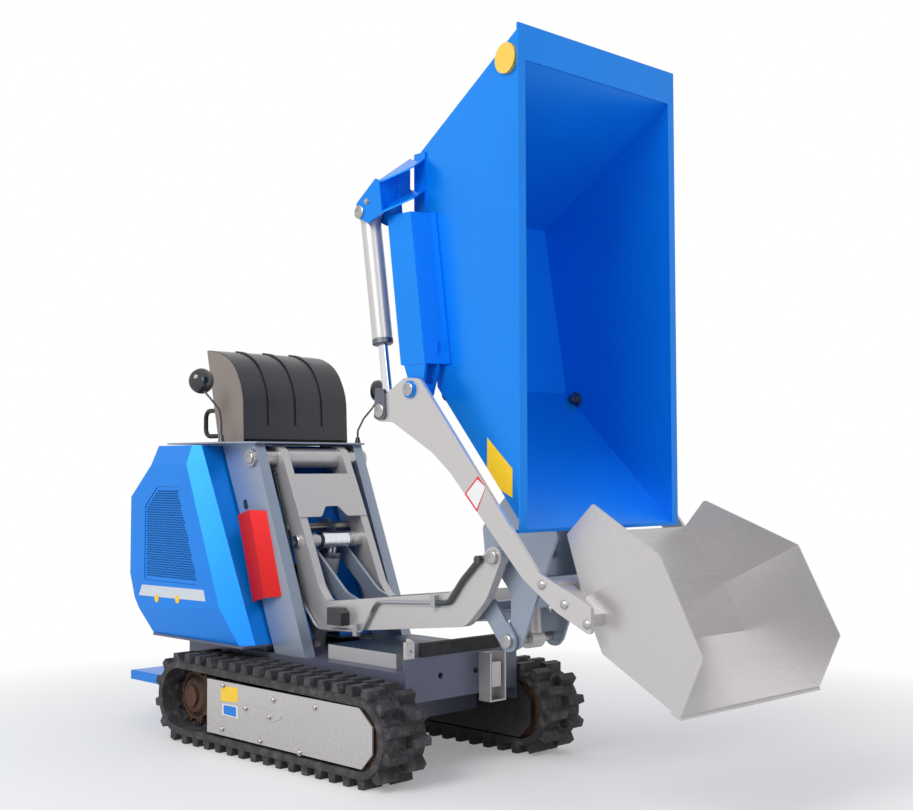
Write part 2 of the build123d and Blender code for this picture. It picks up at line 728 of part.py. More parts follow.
for ear in hinge_arms:
    bracket += ear
for y in (-180, 180):
    bracket += rod(platform_hinge, y - 40, y + 40, 10)
add("platform_bracket", bracket)

# ---------------------------------------------------------------- lift arms
arm_top_front, arm_knee_front = (-428.0, 1078.0), (-296.0, 800.0)
arm_rows = (
    (*arm_top_front, 0),
    (*arm_knee_front, 500),
    (-195, 580, 90),
    (-150, 530, 40),
    (488, 601, 60),
    (560, 656, 60),
    (664, 752, 0),
    (712, 704, 0),
    (655, 590, 160),
    (560, 497, 90),
    (-200, 418, 90),
    (-292, 530, 150),
    (-352, 740, 300),
    (-505, 1066, 0),
)
arm = slab(outline(arm_rows), arm_inner_y, arm_outer_y)
arm += rod(mast_pivot, arm_inner_y, arm_outer_y, 48)
arm += rod(arm_front_pivot, arm_inner_y, arm_outer_y, 34)
arm += rod(lift_rod_pin, 70, arm_inner_y + 1, 22)
arm += rod(lift_rod_pin, link_outer_y + 2, arm_inner_y + 1, 27)
arm += rod(lift_rod_pin, arm_outer_y - 1, arm_outer_y + 8, 24)
arms = Part() + both_sides(arm)
arms += rod(mast_pivot, -arm_inner_y - 1, arm_inner_y + 1, 38)
arms -= rod(mast_pivot, -300, 300, pivot_shaft_radius + running_fit)
arms -= rod(arm_front_pivot, -300, 300, pivot_shaft_radius + running_fit)

pins = []
for side in (-1, 1):
    low, high = sorted((side * 62.0, side * arm_outer_y))
    pin = rod(arm_front_pivot, low, high, pivot_shaft_radius)
    low, high = sorted((side * arm_outer_y, side * (arm_outer_y + 8)))
    pin += rod(arm_front_pivot, low, high, 21)
    low, high = sorted((side * (hook_outer_y + seat_gap), side * (arm_inner_y - seat_gap)))
    pin += rod(arm_front_pivot, low, high, 24)
    pins.append(pin)

plate_top = between(arm_top_front, arm_knee_front, 104)
plate_normal = (arm_top_front[1] - arm_knee_front[1], 0, arm_knee_front[0] - arm_top_front[0])
cover_plate = Plane(origin=(plate_top[0], 0, plate_top[1]), x_dir=(0, 1, 0), z_dir=plate_normal)
notch_rows = (
    (-158, 0, 0),
    (-158, -176, 6),
    (-62, -176, 18),
    (-30, -134, 18),
    (30, -134, 18),
    (62, -176, 18),
    (158, -176, 6),
    (158, 0, 0),
)
add("lift_arms", arms + extrude(cover_plate * outline(notch_rows), amount=5))

lamp_rows = ((-98, 455, 0), (-20, 455, 4), (-20, 500, 4), (-40, 516, 4), (-98, 516, 4))
work_lamp = slab(outline(lamp_rows), -arm_outer_y - 40, -arm_outer_y)
lens_recess = outline(((-110, 462, 0), (-90, 462, 0), (-90, 509, 0), (-110, 509, 0)))
work_lamp -= slab(lens_recess, -arm_outer_y - 34, -arm_outer_y - 6)
add("work_lamp", work_lamp)

line_radius, hose_radius = 5.5, 9.0
line_y = -arm_outer_y - hose_radius - seat_gap
line_points = (
    (-452, 985),
    (-396, 850),
    (-334, 640),
    (-266, 505),
    (-190, 432),
    (58, 440),
    (136, 548),
    (440, 566),
)
line_path = FilletPolyline(*[(x, line_y, z) for x, z in line_points], radius=[200, 150, 120, 60, 30, 40])
arm_line = sweep(Plane(origin=line_path @ 0, z_dir=line_path % 0) * Circle(line_radius), path=line_path)
hose_points = ((436, 566), (492, 569), (556, 646), (632, 716))
hose_path = FilletPolyline(*[(x, line_y, z) for x, z in hose_points], radius=[40, 120])
arm_line += sweep(Plane(origin=hose_path @ 0, z_dir=hose_path % 0) * Circle(hose_radius), path=hose_path)
arm_line += rod((632, 716), -arm_outer_y - 2 * hose_radius - 3, -arm_outer_y, 13)
arm_line += rod((-452, 985), -arm_outer_y - 2 * hose_radius - 2, -arm_outer_y, 9)
for x, z in ((28, 439), (424, 565)):
    arm_line += block(x - 11, x + 11, -arm_outer_y - 18, -arm_outer_y, z - 16, z + 26)
add("arm_lines", arm_line)

# ---------------------------------------------------------------- tilt carriage
hook_rows = (
    (768, 998, 0),
    (795, 1010, 10),
    (818, 992, 10),
    (902, 802, 30),
    (818, 615, 0),
    (748, 445, 30),
    (702, 424, 30),
    (664, 455, 30),
    (702, 530, 30),
    (704, 610, 60),
    (648, 672, 40),
    (588, 728, 20),
    (578, 816, 20),
    (640, 876, 60),
)
carriage = Part()
for plate in both_sides(slab(outline(hook_rows), hook_inner_y, hook_outer_y)):
    carriage += plate
front_web = outline(((806, 570, 0), (848, 668, 0), (840, 672, 0), (798, 574, 0)))
carriage += slab(front_web, -hook_inner_y - 1, hook_inner_y + 1)
carriage += rod((612, 792), -hook_inner_y - 1, hook_inner_y + 1, 14)
for side in (-1, 1):
    low, high = sorted((side * hook_inner_y, side * hook_outer_y))
    carriage += rod(skip_hinge, low, high, 27)
carriage -= rod(arm_front_pivot, -130, 130, pivot_shaft_radius + running_fit)
carriage -= rod(carriage_low_pin, -130, 130, pivot_shaft_radius + running_fit)
carriage -= rod(skip_hinge, -130, 130, hinge_shaft_radius + running_fit)
add("tilt_carriage", carriage)
low_shaft = rod(carriage_low_pin, -dogbone_outer_y - 1, dogbone_outer_y + 1, pivot_shaft_radius)
for side in (-1, 1):
    low, high = sorted((side * (dogbone_outer_y + seat_gap), side * 121.0))
    low_shaft += rod(carriage_low_pin, low, high, 22)
add("carriage_pins", *pins, low_shaft)

# ---------------------------------------------------------------- levelling link
link_rows = (
    (-471, 760, 0),
    (-174, 517, 90),
    (-60, 478, 80),
    (480, 492, 90),
    (610, 534, 0),
    (606, 586, 0),
    (470, 542, 90),
    (-40, 526, 80),
    (-140, 559, 90),
    (-437, 802, 0),
)
link = Part()
for plate in both_sides(slab(outline(link_rows), link_inner_y, link_outer_y)):
    link += plate
for side in (-1, 1):
    low, high = sorted((side * link_inner_y, side * link_outer_y))
    link += rod(levelling_pivot, low, high, 34)
    low, high = sorted((side * dogbone_inner_y, side * dogbone_outer_y))
    link += slab(strap(link_elbow, carriage_low_pin, 34), low, high)
link += rod(link_elbow, -dogbone_outer_y, dogbone_outer_y, 20)
link -= rod(levelling_pivot, -130, 130, link_shaft_radius + running_fit)
link -= rod(carriage_low_pin, -130, 130, pivot_shaft_radius + running_fit)
add("levelling_link", link)


# ---------------------------------------------------------------- cylinders
def cylinder_pair(base, end, y, sizes, base_eye, end_eye):
    """Barrel and rod of a hydraulic cylinder; each eye is a half width and a radius."""
    barrel_radius, rod_radius, barrel_length, rod_length = sizes
    barrel = round_bar(between(base, end, base_eye[1] * 0.6), between(base, end, barrel_length), y, barrel_radius)
    barrel += rod(base, y - base_eye[0], y + base_eye[0], base_eye[1])
    barrel -= round_bar(
        between(base, end, base_eye[1] + 4), between(base, end, barrel_length + 5), y, rod_radius + running_fit
    )
    distance = hypot(end[0] - base[0], end[1] - base[1])
    piston_rod = round_bar(between(base, end, distance - rod_length), end, y, rod_radius)
    piston_rod += rod(end, y - end_eye[0], y + end_eye[0], end_eye[1])
    return barrel, piston_rod


lift_barrel, lift_rod = cylinder_pair(lift_base_pin, lift_rod_pin, 0, lift_cylinder, (27, 32), (60, 32))
lift_barrel -= rod(lift_base_pin, -60, 60, eye_pin_radius + running_fit)
add("lift_barrel", lift_barrel)
add("lift_rod", lift_rod)
tip_barrel, tip_rod = cylinder_pair(carriage_low_pin, tip_rod_pin, 0, tip_cylinder, (30, 30), (17, 22))
tip_barrel -= rod(carriage_low_pin, -60, 60, pivot_shaft_radius + running_fit)
add("tip_barrel", tip_barrel)
add("tip_rod", tip_rod)
loader_barrel, loader_rod = cylinder_pair(
    shovel_barrel_pin, shovel_rod_pin, loader_cylinder_y, loader_cylinder, (28, 28), (17, 26)
)
loader_barrel -= rod(shovel_barrel_pin, 300, 440, eye_pin_radius + running_fit)
add("loader_barrels", both_sides(loader_barrel))
add("loader_rods", both_sides(loader_rod))

# ---------------------------------------------------------------- skip
taper = (rim_half_width - floor_half_width) / (rim_x - side_rear_corner[0])


def plan_prism(inset):
    """The skip's plan, narrow at the floor and wide at the rim, carried through its whole height."""
    near, far = side_rear_corner[0] - 60, rim_x
    near_half = floor_half_width - 60 * taper - inset
    far_half = rim_half_width - inset
    face = Polyline((near, -near_half), (far, -far_half), (far, far_half), (near, near_half), close=True)
    return extrude(Pos(0, 0, rim_low_z - 100) * make_face(face.edges()), amount=rim_high_z - rim_low_z + 200)


side_face = outline(
    (
        (rim_x, rim_low_z, 0),
        (rim_x, rim_high_z, 0),
        (rim_x - 18, rim_high_z, 0),
        (side_rear_corner[0], side_rear_corner[1], 20),
        (floor_rear[0], floor_rear[1], 0),
        (floor_front[0], floor_front[1], 20),
    )
)
walls = slab(side_face, -400, 400) & (plan_prism(0) - plan_prism(skip_wall))
rear_wall_top_z = rim_high_z - rear_band_height
pan_points = ((rim_x - 4, rim_low_z), floor_front, floor_rear, (rim_x - 8, rear_wall_top_z))
pan = slab(sheet_face(pan_points, skip_wall), -400, 400) & plan_prism(0)
band = block(rim_x - 6, rim_x, -rim_half_width, rim_half_width, rear_wall_top_z - 4, rim_high_z)
skip = walls + pan + band
flange_depth = rim_half_width + rim_flange_width
for side in (-1, 1):
    low, high = sorted((side * (rim_half_width - 6), side * flange_depth))
    skip += block(rim_x - 6, rim_x, low, high, rim_low_z, rim_high_z)
skip += block(rim_x - 6, rim_x, -flange_depth, flange_depth, rim_high_z - 6, rim_high_z)
skip += block(rim_x - 24, rim_x, -flange_depth, flange_depth, rim_low_z - 6, rim_low_z + 3)
boss_point = (640, 1225)
skip += rod(boss_point, floor_half_width, floor_half_width + 34, 22) - plan_prism(skip_wall)
add("skip_body", skip)


def front_wall_z(x):
    """Height of the front wall's outer face at x."""
    share = (x - floor_front[0]) / (rim_x - 4 - floor_front[0])
    return floor_front[1] + share * (rim_low_z - floor_front[1])


def wall_lug(pin, half_base, radius, y_low, y_high, bore_radius):
    """Bracket from the front wall's outer face to a pin."""
    foot_low = (pin[0] - half_base + 40, front_wall_z(pin[0] - half_base + 40))
    foot_high = (pin[0] + half_base + 10, front_wall_z(pin[0] + half_base + 10))
    sling = 0.707 * radius
    rows = (
        (foot_low[0], foot_low[1], 0),
        (pin[0] - sling, pin[1] - sling, 0),
        (pin[0] + sling, pin[1] - sling, 0),
        (foot_high[0], foot_high[1], 0),
    )
    lug = slab(outline(rows), y_low, y_high) + rod(pin, y_low, y_high, radius)
    return lug - rod(pin, y_low - 1, y_high + 1, bore_radius) if bore_radius else lug


hinge_lug = wall_lug(skip_hinge, 60, 27, hook_outer_y + 4, hook_outer_y + 16, hinge_shaft_radius + running_fit)
hinge_set = rod(skip_hinge, -hook_outer_y - 20, hook_outer_y + 20, hinge_shaft_radius)
for lug in both_sides(hinge_lug):
    hinge_set += lug
tip_lug = wall_lug(tip_rod_pin, 60, 24, 23, 33, 0)
add("skip_lugs", hinge_set, both_sides(tip_lug))

# brackets on the skip's sides that carry the shovel's pivots and cylinders
beam_lean = (floor_front[0] - floor_rear[0]) / (floor_front[1] - floor_rear[1])
fold_foot_z, fold_head_z = 1330.0, 1815.0
fold_y = 384.0
sheet_gauge = 6.0


def floor_line_x(z):
    return floor_front[0] + beam_lean * (z - floor_front[1])


def skip_half_width(x):
    """Half of the skip's outer width at x."""
    return rim_half_width - taper * (rim_x - x)


def along_floor(section):
    """A plan section at the fold's foot carried up the skip's side, parallel to the floor's edge."""
    rise = fold_head_z - fold_foot_z
    run = beam_lean * rise
    face = Pos(floor_line_x(fold_foot_z), 0, fold_foot_z) * section
    return extrude(face, amount=hypot(rise, run, run * taper), dir=(run, run * taper, rise))


def across(rows, x_low, x_high):
    """Face of y and z rows given thickness from x_low to x_high."""
    plane = Plane(origin=(x_low, 0, 0), x_dir=(0, 1, 0), z_dir=(1, 0, 0))
    face = make_face(Polyline(*rows, close=True).edges())
    return extrude(plane * face, amount=x_high - x_low, dir=(1, 0, 0))


foot_wall_y = skip_half_width(floor_line_x(fold_foot_z))
flange_rows = (
    (-14, foot_wall_y - 14 * taper),
    (82, foot_wall_y + 82 * taper),
    (82, foot_wall_y + 82 * taper + sheet_gauge),
    (-14, foot_wall_y - 14 * taper + sheet_gauge),
)
fold_line = ((58, foot_wall_y + 2), (36, fold_y), (-75, fold_y), (-95, fold_y - 66))
side_bracket_left = along_floor(make_face(Polyline(*flange_rows, close=True).edges()))
side_bracket_left += along_floor(sheet_face(fold_line, -4)) - plan_prism(0)

barrel_x, barrel_z = shovel_barrel_pin
fork_y = ((loader_cylinder_y - 45, loader_cylinder_y - 36), (loader_cylinder_y + 36, loader_cylinder_y + 45))
fork_offsets = ((-18, -12, 4), (41, -40, 6), (110, -17, 0), (96, 89, 0), (78, 99, 4), (-16, 31, 10))
fork_face = outline([(barrel_x + x, barrel_z + z, r) for x, z, r in fork_offsets])
for y_low, y_high in fork_y:
    side_bracket_left += slab(fork_face, y_low, y_high)
side_bracket_left += rod(shovel_barrel_pin, fork_y[0][1] - 1, fork_y[1][0] + 1, eye_pin_radius)
rib_outer_y, rib_inner_y, rib_slope = fork_y[1][1], 280.0, 0.67
rib_climb = rib_slope * (rib_outer_y - rib_inner_y)
low_rib_z, high_rib_z = barrel_z - 17, barrel_z + 89
web_x = barrel_x + 90
outrigger = across(
    (
        (rib_inner_y, low_rib_z + rib_climb),
        (rib_outer_y, low_rib_z),
        (rib_outer_y, high_rib_z),
        (rib_inner_y, high_rib_z + rib_climb),
    ),
    web_x,
    web_x + sheet_gauge,
)
for z in (low_rib_z, high_rib_z - sheet_gauge):
    rib_rows = (
        (rib_inner_y, z + rib_climb),
        (rib_outer_y, z),
        (rib_outer_y, z + sheet_gauge),
        (rib_inner_y, z + rib_climb + sheet_gauge),
    )
    outrigger += across(rib_rows, web_x, web_x + 104)
rib_trim = make_face(
    Polyline(
        (web_x + 24, rib_outer_y + 1),
        (web_x + 200, rib_inner_y),
        (web_x + 200, rib_outer_y + 1),
        close=True,
    ).edges()
)
outrigger -= extrude(Pos(0, 0, low_rib_z - 200) * rib_trim, amount=600)
wall_x_low, wall_x_high = web_x + 46, web_x + 104
wall_plate_rows = (
    (wall_x_low, skip_half_width(wall_x_low)),
    (wall_x_high, skip_half_width(wall_x_high)),
    (wall_x_high, skip_half_width(wall_x_high) + sheet_gauge),
    (wall_x_low, skip_half_width(wall_x_low) + sheet_gauge),
)
wall_plate = make_face(Polyline(*wall_plate_rows, close=True).edges())
wall_plate_z = (fold_head_z - 15, high_rib_z + rib_climb + 4)
outrigger += extrude(Pos(0, 0, wall_plate_z[0]) * wall_plate, amount=wall_plate_z[1] - wall_plate_z[0])
side_bracket_left += outrigger - plan_prism(0)

pivot_x, pivot_z = shovel_pivot
fold_rise = fold_foot_z + 14 - pivot_z
pivot_offsets = ((-24, -26, 20), (24, -26, 20), (40, 60, 0), (42, fold_rise, 0), (-62, fold_rise, 0), (-40, 40, 10))
pivot_face = outline([(pivot_x + x, pivot_z + z, r) for x, z, r in pivot_offsets])
side_bracket_left += slab(pivot_face, fold_y - 12, fold_y - 2)
pivot_boss = rod(shovel_pivot, fold_y - 54, loader_arm_y[0] - seat_gap, 30)
pivot_boss += rod(shovel_pivot, fold_y, loader_arm_y[1] + 8, shovel_pivot_radius)
pivot_boss += rod(shovel_pivot, loader_arm_y[1] + seat_gap, loader_arm_y[1] + 8, 27)
gusset_offsets = ((-24, -20, 10), (24, -20, 10), (52, 60, 0), (52, 150, 0), (-20, 150, 0))
gusset = outline([(pivot_x + x, pivot_z + z, r) for x, z, r in gusset_offsets])
side_bracket_left += pivot_boss + slab(gusset, fold_y - 54, fold_y - 44)
tie_plate_z = (pivot_z + 84, pivot_z + 94)
tie_plate = block(pivot_x - 16, pivot_x + 50, 280, fold_y - 44, *tie_plate_z)
side_bracket_left += tie_plate - plan_prism(0)
add("skip_brackets", both_sides(side_bracket_left))
reflector_x, reflector_z = 930.0, rim_high_z - 86
reflector_plane = Plane(origin=(reflector_x, skip_half_width(reflector_x), reflector_z), z_dir=(-taper, 1, 0))
add("reflectors", both_sides(reflector_plane * (Pos(0, 0, 6) * Cylinder(46, 12))))

# ---------------------------------------------------------------- loader arms and shovel
loader_rows = (
    (pivot_x - 28, pivot_z + 38, 28),
    (pivot_x + 42, pivot_z + 32, 30),
    (1098, 714, 60),
    (1252, 650, 8),
    (1290, 632, 10),
    (1290, 552, 10),
    (1165, 608, 60),
    (1040, 692, 60),
    (745, 992, 120),
    (668, 1052, 80),
    (shovel_rod_pin[0] + 56, shovel_rod_pin[1] - 38, 40),
    (shovel_rod_pin[0] - 24, shovel_rod_pin[1] - 32, 26),
    (shovel_rod_pin[0] - 36, shovel_rod_pin[1] + 22, 26),
)
loader_arm = slab(outline(loader_rows), *loader_arm_y)
loader_arm += rod(shovel_rod_pin, loader_arm_y[1], loader_arm_y[1] + 6, 22)
loader_arm -= rod(shovel_pivot, 380, 430, shovel_pivot_radius + running_fit)
tube_point = (1125, 668)
cross_tube = rod(tube_point, -loader_arm_y[0], loader_arm_y[0], 24)
loader_frame = Part() + both_sides(loader_arm)
loader_frame += cross_tube
add("loader_arms", loader_frame)

shovel_rows = (
    (1098, 815, 0),
    (1185, 905, 12),
    (1470, 775, 8),
    (1605, 517, 8),
    (1532, 358, 0),
    (1274, 498, 0),
    (1185, 680, 0),
)
crease_foot = (1200.0, 640.0)
crease_turn = atan2(775 - 640, 1470 - 1200)
crease_lean = 0.287


def shovel_volume(half_width):
    """Shovel outline given its width, with the upper corners leaning in above the crease."""
    volume = slab(outline(shovel_rows), -half_width, half_width)
    for side in (-1, 1):
        origin = (crease_foot[0] - 300 * cos(crease_turn), 0, crease_foot[1] - 300 * sin(crease_turn))
        plane = Plane(origin=origin, x_dir=(0, 1, 0), z_dir=(cos(crease_turn), 0, sin(crease_turn)))
        up = -1 if plane.y_dir.Z < 0 else 1
        wedge = Polyline(
            (side * half_width, 0),
            (side * (half_width - crease_lean * 400), up * 400),
            (side * (half_width + 80), up * 400),
            (side * (half_width + 80), 0),
            close=True,
        )
        volume -= extrude(plane * make_face(wedge.edges()), amount=900)
    return volume


outer_volume = shovel_volume(shovel_half_width)
shovel_sides = outer_volume - shovel_volume(shovel_half_width - shovel_plate)
pan_rows = [shovel_rows[index] for index in (4, 5, 6, 0)]
pan_line = Polyline(*[(x + 3, z + 3) for x, z, _ in pan_rows])
shovel_pan = slab(trace(pan_line, 7), -shovel_half_width, shovel_half_width) & outer_volume
shovel = shovel_sides + shovel_pan
lip_x, lip_z = shovel_rows[4][:2]
lip = slab(strap((lip_x - 27, lip_z + 11), (lip_x, lip_z - 3), 4), -shovel_half_width, shovel_half_width)
shovel += lip
shovel_ear = slab(
    outline(((1156, 684, 8), (1192, 664, 0), (1284, 608, 10), (1280, 570, 10), (1180, 616, 10), (1156, 640, 8))),
    shovel_half_width - 5,
    loader_arm_y[0],
)
for ear in both_sides(shovel_ear):
    shovel += ear
add("shovel", shovel)

# ---------------------------------------------------------------- move to the footprint's centre and write
everything = Compound([solid for solids in nodes.values() for solid in solids])
box = everything.bounding_box()
shift_x = -(box.min.X + box.max.X) / 2


def to_frame(point, y=0.0):
    """A side-view point in the part's frame, in metres."""
    return [round((point[0] + shift_x) / 1000, 6), round(y / 1000, 6), round(point[1] / 1000, 6)]


os.makedirs("parts", exist_ok=True)
for node_name, solids in nodes.items():
    export_step(Pos(shift_x, 0, 0) * Compound(solids), f"parts/{node_name}.step")
print("nodes", len(nodes), "shift", round(shift_x, 3), "box", box.size)
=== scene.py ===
# %% [markdown]
# # Site dumper on rubber tracks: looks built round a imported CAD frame
#
# The CAD model fixes every shape, size and joint. This script loads it and adds what a CAD kernel is poor at:
# painted, cast and rubber surfaces, small fasteners, a finely punched grille, and the light.

# %%
import math

import bpy
from mathutils import Matrix, Vector
from mathutils.geometry import delaunay_2d_cdt


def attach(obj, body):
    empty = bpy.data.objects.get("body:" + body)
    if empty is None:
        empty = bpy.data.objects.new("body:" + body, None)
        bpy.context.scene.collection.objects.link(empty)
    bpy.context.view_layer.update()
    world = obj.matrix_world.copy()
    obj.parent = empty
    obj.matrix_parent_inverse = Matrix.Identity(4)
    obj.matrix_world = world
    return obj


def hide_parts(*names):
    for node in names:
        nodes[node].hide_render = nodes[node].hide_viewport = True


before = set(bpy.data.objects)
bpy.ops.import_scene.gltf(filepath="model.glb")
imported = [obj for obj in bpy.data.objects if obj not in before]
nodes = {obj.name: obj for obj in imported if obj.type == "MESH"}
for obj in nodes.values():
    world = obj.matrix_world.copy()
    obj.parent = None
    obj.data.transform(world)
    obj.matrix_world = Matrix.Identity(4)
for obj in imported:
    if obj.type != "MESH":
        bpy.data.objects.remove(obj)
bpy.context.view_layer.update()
scene = bpy.context.scene
CENTRE_X = -0.167046


def at(x, y, z):
    """A point of the machine's drawing, in millimetres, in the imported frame."""
    return Vector((x / 1000 + CENTRE_X, y / 1000, z / 1000))


def hand_of(side):
    """The machine's right is at negative y."""
    return "right" if side < 0 else "left"


# %% [markdown]
# ## Camera
#
# The camera stands to the front right of the machine, a metre above the ground, and looks slightly up. Its focal
# length and the image's width are in one unit, so their ratio sets the lens.

# %%
CAMERA_PLACE = Vector((3.636 + CENTRE_X, -3.185, 1.005))
AZIMUTH, PITCH, ROLL = math.radians(45.85), math.radians(2.715), math.radians(-0.16)
FOCAL_LENGTH, IMAGE_WIDTH = 1336.9, 913
SENSOR_WIDTH = 36.0

camera_data = bpy.data.cameras.new("camera")
camera_data.sensor_width = SENSOR_WIDTH
camera_data.lens = FOCAL_LENGTH * SENSOR_WIDTH / IMAGE_WIDTH
camera_data.clip_end = 100.0
camera = bpy.data.objects.new("camera", camera_data)
scene.collection.objects.link(camera)
forward = Vector((-math.sin(AZIMUTH) * math.cos(PITCH), math.cos(AZIMUTH) * math.cos(PITCH), math.sin(PITCH)))
turn = forward.to_track_quat("-Z", "Y").to_matrix().to_4x4()
camera.matrix_world = Matrix.Translation(CAMERA_PLACE) @ turn @ Matrix.Rotation(ROLL, 4, "Z")
scene.camera = camera

# %% [markdown]
# ## Shader maths
#
# A shader value could be worked out by placing Math nodes one by one, but the recipe is then hard to read. `Field`
# lets it be written as ordinary arithmetic: each operator adds its own node. Every other node comes from `add_node`.


# %%
def add_node(tree, kind, settings=None, sockets=None):
    """A node of a kind: its settings first, then a value or a linked socket for each of its inputs."""
    node = tree.nodes.new(kind)
    for name, value in (settings or {}).items():
        setattr(node, name, value)
    for name, value in (sockets or {}).items():
        source = value.socket if isinstance(value, Field) else value
        if isinstance(source, bpy.types.NodeSocket):
            tree.links.new(source, node.inputs[name])
        else:
            node.inputs[name].default_value = source
    return node


class Field:
    """A shader value that can be added, multiplied and ramped like a number."""

    def __init__(self, tree, socket):
        self.tree, self.socket = tree, socket

    def combine(self, operation, *others):
        sockets = dict(enumerate((self, *others)))
        return Field(self.tree, add_node(self.tree, "ShaderNodeMath", {"operation": operation}, sockets).outputs[0])

    def __add__(self, other):
        return self.combine("ADD", other)

    def __sub__(self, other):
        return self.combine("SUBTRACT", other)

    def __mul__(self, other):
        return self.combine("MULTIPLY", other)

    def __rsub__(self, other):
        return self * -1.0 + other

    __radd__ = __add__
    __rmul__ = __mul__

    def sine(self):
        return self.combine("SINE")

    def larger(self, other):
        return self.combine("MAXIMUM", other)

    def smaller(self, other):
        return self.combine("MINIMUM", other)

    def ramp(self, low, high):
        """0 at low, 1 at high, and straight between them."""
        sockets = {"Value": self, "From Min": low, "From Max": high}
        return Field(self.tree, add_node(self.tree, "ShaderNodeMapRange", sockets=sockets).outputs["Result"])


# %% [markdown]
# ## One surface
#
# `Surface` is one material on Object coordinates. Its noise and bump stay on the piece when a joint turns it, because
# the coordinates belong to the piece and not to the room.


# %%
class Surface:
    """One procedural material: a Principled shader fed from object coordinates."""

    def __init__(self, name, roughness=0.5, metallic=0.0, coat=0.0, coat_roughness=0.1):
        self.material = bpy.data.materials.new(name)
        self.material.use_nodes = True
        self.tree = self.material.node_tree
        self.shader = self.tree.nodes["Principled BSDF"]
        self.shader.inputs["Roughness"].default_value = roughness
        self.shader.inputs["Metallic"].default_value = metallic
        self.shader.inputs["Coat Weight"].default_value = coat
        self.shader.inputs["Coat Roughness"].default_value = coat_roughness
        self.place = add_node(self.tree, "ShaderNodeTexCoord").outputs["Object"]
        split = add_node(self.tree, "ShaderNodeSeparateXYZ", sockets={0: self.place})
        self.x, self.y, self.z = (Field(self.tree, output) for output in split.outputs)

    def noise(self, scale, detail=2.0, stretch=(1, 1, 1), roughness=0.5):
        """Noise from 0 to 1 whose grains are about a metre divided by the scale."""
        mapping = add_node(self.tree, "ShaderNodeMapping", sockets={"Vector": self.place, "Scale": stretch})
        sockets = {"Vector": mapping.outputs[0], "Scale": scale, "Detail": detail, "Roughness": roughness}
        return Field(self.tree, add_node(self.tree, "ShaderNodeTexNoise", sockets=sockets).outputs["Fac"])

    def mix(self, factor, first, second):
        """Colour that goes from first to second, each a colour or a socket, as factor goes from 0 to 1."""
        first, second = ((*part, 1) if isinstance(part, tuple) else part for part in (first, second))
        sockets = {"Factor": factor, 6: first, 7: second}
        return add_node(self.tree, "ShaderNodeMix", {"data_type": "RGBA"}, sockets).outputs[2]

    def colour(self, socket):
        self.tree.links.new(socket, self.shader.inputs["Base Color"])

    def feed(self, name, field):
        self.tree.links.new(field.socket, self.shader.inputs[name])

    def bump(self, height, distance, strength=1.0):
        """Relief of a height field; distance is in metres."""
        sockets = {"Height": height, "Distance": distance, "Strength": strength}
        relief = add_node(self.tree, "ShaderNodeBump", sockets=sockets)
        self.tree.links.new(relief.outputs[0], self.shader.inputs["Normal"])


# %% [markdown]
# ## Paints
#
# A site machine is painted steel with dust low down. One recipe makes every paint: a slight change of tone,
# grey-brown dust that thins out above the tracks, and the faint orange peel of a sprayed coat.

# %%
DUST = (0.20, 0.17, 0.14)


def shade(colour, factor):
    return tuple(min(1.0, part * factor) for part in colour)


def paint(name, colour, roughness=0.34, metallic=0.0, coat=0.3, dust_top=0.34, variation=0.12):
    """Sprayed paint with uneven tone, dust near the ground and orange peel."""
    surface = Surface(name, roughness, metallic, coat, 0.12)
    surface.shader.inputs["Specular IOR Level"].default_value = 0.25
    tone = surface.mix(surface.noise(3.2, 4.0), shade(colour, 1 - variation), shade(colour, 1 + variation))
    grain = surface.noise(90.0, 5.0, roughness=0.6)
    low = surface.z.ramp(dust_top, 0.0) * grain.ramp(0.30, 0.85) * 0.45
    specks = surface.noise(14.0, 6.0, roughness=0.75).ramp(0.62, 0.80) * 0.05
    surface.colour(surface.mix((low + specks).smaller(0.9), tone, DUST))
    surface.feed("Roughness", low * 0.4 + surface.noise(9.0, 4.0) * 0.10 + (roughness - 0.05))
    surface.bump(surface.noise(240.0, 2.0), 0.00025, 0.35)
    return surface.material


blue = paint("blue_paint", (0.001, 0.230, 0.82), roughness=0.30, metallic=0.35, coat=0.06, variation=0.08)
silver = paint("silver_paint", (0.55, 0.53, 0.525), roughness=0.34, metallic=0.5, coat=0.1, variation=0.05)
# The mast posts, top plate, carriage and link are silver; this darker, bluer copy of the silver paint is painted
# shade.
mast_silver_painted_shade = paint("mast_silver_painted_shade", (0.31, 0.36, 0.44), roughness=0.34, metallic=0.5, coat=0.1, variation=0.06)
# The chassis is silver; this dark blue-grey copy of the silver paint is painted shade for its shaded front.
chassis_silver_painted_shade = paint("chassis_silver_painted_shade", (0.13, 0.14, 0.20), roughness=0.4, metallic=0.4, coat=0.05, dust_top=0.3)
red = paint("red_paint", (0.55, 0.003, 0.005), roughness=0.30, metallic=0.3, coat=0.06, dust_top=0.1)
black = paint("black_paint", (0.022, 0.022, 0.024), roughness=0.42, coat=0.1, dust_top=0.42)
beige = paint("side_panel_paint", (0.25, 0.215, 0.19), roughness=0.42, coat=0.1)
print("materials so far, with those of the CAD nodes:", len(bpy.data.materials))

# %% [markdown]
# ## Rubber and bare metal
#
# Track rubber is black under pale scuffs. Rods and pins are bare metal, whose marks follow the way they were turned
# or rolled, so their noise is stretched along one direction.


# %%
def rubber(name, colour, worn, grain_scale=90.0, roughness=0.78):
    """Dusty rubber: pale scuffs over a black compound."""
    surface = Surface(name, roughness)
    scuff = surface.noise(26.0, 6.0, roughness=0.7).ramp(0.48, 0.75)
    surface.colour(surface.mix(scuff, colour, worn))
    surface.feed("Roughness", scuff * 0.12 + (roughness - 0.08))
    surface.bump(surface.noise(grain_scale, 5.0), 0.0012, 0.5)
    return surface.material


